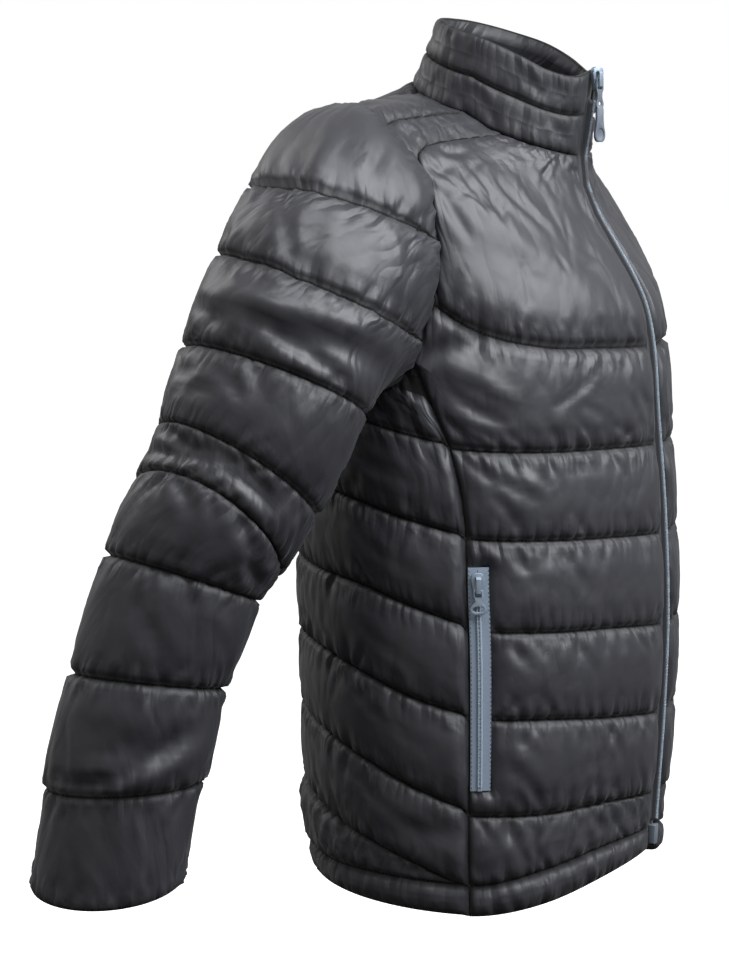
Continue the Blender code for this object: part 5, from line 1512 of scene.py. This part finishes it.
def nylon_cloth():
    """Charcoal woven nylon with a soft shine, crinkled over its padding and gathered at its seams, where
    painted shade darkens its grooves.
    """
    shader = Shader("charcoal nylon cloth")
    cloth = shader.node("ShaderNodeUVMap", {"uv_map": "cloth"})
    quilt = shader.node("ShaderNodeAttribute", {"attribute_name": "quilt"}, output=2)
    side = shader.node("ShaderNodeAttribute", {"attribute_name": "side"}, output=2)

    def tents(turn, stretch, scale):
        place = {"Vector": bent, "Rotation": (0, 0, turn), "Scale": (1.0, stretch, 1.0)}
        settings = {"voronoi_dimensions": "2D", "feature": "SMOOTH_F1"}
        inputs = {"Vector": shader.node("ShaderNodeMapping", {}, place), "Scale": scale, "Smoothness": 0.1}
        return shader.node("ShaderNodeTexVoronoi", settings, inputs)

    def near(distance, reach):
        return shader.eased(distance, 0.0, reach, 1.0, 0.0)

    broad = shader.noise(cloth, 22.0, 3.0, flat=True)
    waver = shader.noise(cloth, 16.0, 2.0, flat=True, output=1)
    shift = {0: waver, 1: WAVER, 2: cloth}
    bent = shader.node("ShaderNodeVectorMath", {"operation": "MULTIPLY_ADD"}, shift)
    patches = shader.eased(shader.noise(cloth, 17.0, 1.0, flat=True), *PATCH_EDGES)
    height = broad * BROAD_HEIGHT + tents(0.5, 0.45, 34.0) * FACET_HEIGHT
    height += tents(-0.7, 0.35, 85.0) * patches * CRINKLE_HEIGHT
    height += tents(0.0, 0.13, 105.0) * near(quilt, 0.026) * GATHER_HEIGHT
    height += tents(1.5708, 0.16, 120.0) * near(side, 0.018) * TUCK_HEIGHT
    height += shader.noise(cloth, 1500.0, 1.0, flat=True) * WEAVE_HEIGHT
    # Painted shade: the cloth's colour darkens to near-black in the grooves along the quilt lines and side
    # seams, and partly over a wider band beside them; the same mask also roughens the cloth there.
    hollow = near(quilt, 0.012) + near(side, 0.005)
    seam = near(quilt, 0.0017) + near(side, 0.0012) + hollow * 0.5
    return shader.finish(
        Base_Color=shader.mix(seam, CLOTH_COLOUR, PAINTED_SEAM_SHADE),
        Roughness=CLOTH_ROUGHNESS + broad * 0.08 + seam * 0.4,
        Specular_IOR_Level=0.55,
        Coat_Weight=0.0,
        Sheen_Weight=0.05,
        Sheen_Roughness=0.4,
        Normal=shader.bump(height),
    )


# The zip tapes' weave.
RIB_HEIGHT = 0.00004
YARN_HEIGHT = 0.00005
TAPE_SHADES = (0.72, 1.15)


def woven_tape(name, colour):
    """A zip's tape: close ribs of woven yarn, a little uneven in shade."""
    shader = Shader(name)
    place = shader.node("ShaderNodeTexCoord", output=3)
    bands = {"Vector": place, "Scale": 320.0, "Distortion": 0.6}
    ribs = shader.node("ShaderNodeTexWave", {"bands_direction": "Z"}, bands, 1)
    yarn = shader.noise(place, 1100.0, 2.0)
    dark, light = [tuple(channel * shade for channel in colour) + (1,) for shade in TAPE_SHADES]
    return shader.finish(
        Base_Color=shader.mix(yarn * 0.6 + ribs * 0.4, dark, light),
        Roughness=0.72,
        Sheen_Weight=0.2,
        Normal=shader.bump(ribs * RIB_HEIGHT + yarn * YARN_HEIGHT),
    )


# The wear of a hard finish.
WEAR_HEIGHT = 0.00003
WEAR_SHINE = 0.16


def satin(name, colour, metallic, roughness):
    """A smooth hard finish with faint wear in its shine."""
    shader = Shader(name)
    wear = shader.noise(shader.node("ShaderNodeTexCoord", output=3), 260.0, 3.0)
    return shader.finish(
        Base_Color=colour + (1,),
        Metallic=metallic,
        Roughness=roughness - WEAR_SHINE / 2 + wear * WEAR_SHINE,
        Normal=shader.bump(wear * WEAR_HEIGHT),
    )


# Assembly.

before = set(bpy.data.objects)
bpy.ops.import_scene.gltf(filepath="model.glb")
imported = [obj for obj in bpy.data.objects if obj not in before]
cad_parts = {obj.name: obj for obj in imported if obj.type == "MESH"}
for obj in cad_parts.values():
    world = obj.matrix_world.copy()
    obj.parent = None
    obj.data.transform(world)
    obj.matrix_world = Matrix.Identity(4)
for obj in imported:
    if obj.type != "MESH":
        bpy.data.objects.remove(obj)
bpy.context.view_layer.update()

nylon = nylon_cloth()
shells = []
PANELS = (
    (front_panel, ("right", "left")),
    (back_panel, ("",)),
    (yoke_panel, ("right", "left")),
    (sleeve_panel, ("right", "left")),
    (collar_panel, ("",)),
)
for make, sides in PANELS:
    panel = make()
    for side in sides:
        node = f"{panel.name}_{side}" if side else panel.name
        shell = Shell(panel, f"{node}_cloth", side)
        shell.node = node
        shells.append(shell)
settle(shells)
CREASES = {
    "front": FRONT_CREASES,
    "back": BACK_CREASES,
    "shoulder": SHOULDER_CREASES,
    "sleeve": SLEEVE_CREASES,
    "collar": COLLAR_CREASES,
}
for seed, shell in enumerate(shells):
    thing = shell.object
    crumple(shell, CREASES[shell.panel.name], seed)
    thing.data.materials.append(nylon)
    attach(thing, "jacket")
    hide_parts(shell.node)

tree = bead_tree()
sewn_lines = [line for shell in shells for line in shell.stitch_lines()]
sewn_lines += pocket_seams("right") + pocket_seams("left")
thread = satin("black thread", (0.012, 0.012, 0.014), 0.0, 0.6)
stitches = beads("stitching", tree, sewn_lines, **STITCH, Material=thread)
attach(stitches, "jacket")

coil_yarn = satin("blue-grey coil", (0.26, 0.32, 0.38), 0.0, 0.42)
ZIPS = {
    "front_zip": front_coil,
    "pocket_zip_right": lambda aside, ahead: pocket_coil("right", aside, ahead),
    "pocket_zip_left": lambda aside, ahead: pocket_coil("left", aside, ahead),
}
TAPES = {
    "front_zip": woven_tape("dark zip tape", (0.030, 0.031, 0.036)),
    "pocket_zip_right": woven_tape("blue-grey zip tape", (0.21, 0.26, 0.33)),
}
TAPES["pocket_zip_left"] = TAPES["pocket_zip_right"]
for node, path in ZIPS.items():
    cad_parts[node].data.materials.clear()
    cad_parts[node].data.materials.append(TAPES[node])
    for row, turn in zip(coil_rows(path), (COIL_SLANT, -COIL_SLANT)):
        side = "left" if turn < 0 else "right"
        coil = beads(f"{node}_coil_{side}", tree, [row], **COIL, Turn=turn, Material=coil_yarn)
        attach(coil, "jacket")

metal = satin("blue-grey lacquered metal", (0.23, 0.28, 0.34), 0.4, 0.34)
moulding = satin("pale blue-grey moulding", (0.12, 0.14, 0.17), 0.0, 0.40)
HARDWARE = {
    "front_zip_slider": ("jacket", metal, "metal"),
    "front_zip_pull": ("front_pull", moulding, "moulding"),
    "front_zip_box": ("jacket", moulding, "moulding"),
    "pocket_slider_right": ("jacket", metal, "metal"),
    "pocket_slider_left": ("jacket", metal, "metal"),
    "pocket_pull_right": ("right_pocket_pull", metal, "metal"),
    "pocket_pull_left": ("left_pocket_pull", metal, "metal"),
}
for node, (body, finish, slot) in HARDWARE.items():
    piece = softened(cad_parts[node])
    piece.data.materials.append(finish)
    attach(piece, body)
    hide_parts(node)


# Stage.

CAMERA_TURN = -68.0
CAMERA_RISE = 5.5
CAMERA_DISTANCE = 3.25
CAMERA_TARGET = np.array((0.0, 0.0, -0.32))
CAMERA_ASIDE = 0.0331
LENS = 91.5
SENSOR = 24.0
LIGHT_TARGET = np.array((0, 0, -0.3))
COOL = (0.93, 0.96, 1.0)
FLOOR_LEVEL = -1.0
FLOOR_HALF = 40.0
FLOOR_GLOW = 0.65
SKY_SPAN = (-0.7, 0.9)
SKY_LOW = 0.04
SKY_HIGH = 0.60


def direction(turn, rise):
    """The unit vector towards a place round the jacket: turn 0 is its front and 90 its left side."""
    turn, rise = np.radians(turn), np.radians(rise)
    return np.array((np.sin(turn) * np.cos(rise), -np.cos(turn) * np.cos(rise), np.sin(rise)))


def camera():
    """The camera at the jacket's right, turned a little so that the jacket stands off its axis."""
    back = direction(CAMERA_TURN, CAMERA_RISE)
    right = unit(np.cross((0, 0, 1), back))
    up = np.cross(back, right)
    aim = unit(back + right * CAMERA_ASIDE)
    lens = bpy.data.cameras.new("camera")
    lens.lens = LENS
    lens.sensor_width = SENSOR
    lens.clip_end = 50
    eye = placed("camera", lens)
    place = np.eye(4)
    place[:3, :3] = np.column_stack([np.cross(up, aim), up, aim])
    place[:3, 3] = CAMERA_TARGET + back * CAMERA_DISTANCE
    eye.matrix_world = Matrix(place.tolist())
    bpy.context.scene.camera = eye


def area_light(name, turn, rise, distance, size, power, colour=(1, 1, 1)):
    """A soft box that faces the jacket from a direction round it."""
    back = direction(turn, rise)
    light = bpy.data.lights.new(name, "AREA")
    light.shape = "RECTANGLE"
    light.size, light.size_y = size
    light.energy = power
    light.color = colour
    thing = placed(name, light)
    thing.location = LIGHT_TARGET + back * distance
    thing.rotation_euler = Vector(back).to_track_quat("Z", "Y").to_euler()


def floor():
    """A wide white floor below the hem."""
    signs_round = ((-1, -1), (1, -1), (1, 1), (-1, 1))
    corners = [(x * FLOOR_HALF, y * FLOOR_HALF, FLOOR_LEVEL) for x, y in signs_round]
    mesh = bpy.data.meshes.new("floor")
    mesh.from_pydata(corners, [], [(0, 1, 2, 3)])
    thing = placed("floor", mesh)
    white = (0.92, 0.92, 0.92, 1)
    glow = {"Emission_Color": white, "Emission_Strength": FLOOR_GLOW}
    mesh.materials.append(Shader("white paper").finish(Base_Color=white, Roughness=0.9, **glow))
    thing.visible_diffuse = False
    thing.visible_glossy = False


def surroundings():
    """A white studio: bright overhead, dimmer towards the floor, and plain white behind the jacket."""
    world = bpy.data.worlds.new("studio")
    bpy.context.scene.world = world
    world.use_nodes = True
    tree = world.node_tree
    height = add_node(tree, "ShaderNodeSeparateXYZ")
    tree.links.new(tree.nodes.new("ShaderNodeTexCoord").outputs["Generated"], height.inputs[0])
    span = {"From Min": SKY_SPAN[0], "From Max": SKY_SPAN[1], "To Min": SKY_LOW, "To Max": SKY_HIGH}
    sky = add_node(tree, "ShaderNodeMapRange", {}, {"Value": height.outputs["Z"], **span})
    seen = tree.nodes.new("ShaderNodeLightPath").outputs["Is Camera Ray"]
    lit = {"Factor": seen, "A": sky.outputs["Result"], "B": 1.0}
    strength = add_node(tree, "ShaderNodeMix", {}, lit).outputs["Result"]
    background = tree.nodes["Background"]
    feed(tree, background.inputs["Strength"], strength)
    feed(tree, background.inputs["Color"], (1, 1, 1, 1))


camera()
floor()
surroundings()
area_light("front_box", -2.0, 40.0, 2.4, (2.4, 1.8), 100.0, COOL)
area_light("high_box", -62.0, 62.0, 2.6, (1.6, 1.2), 34.0, COOL)
area_light("back_box", 170.0, 35.0, 2.6, (1.4, 1.4), 14.0)
bpy.context.scene.view_settings.view_transform = "Standard"
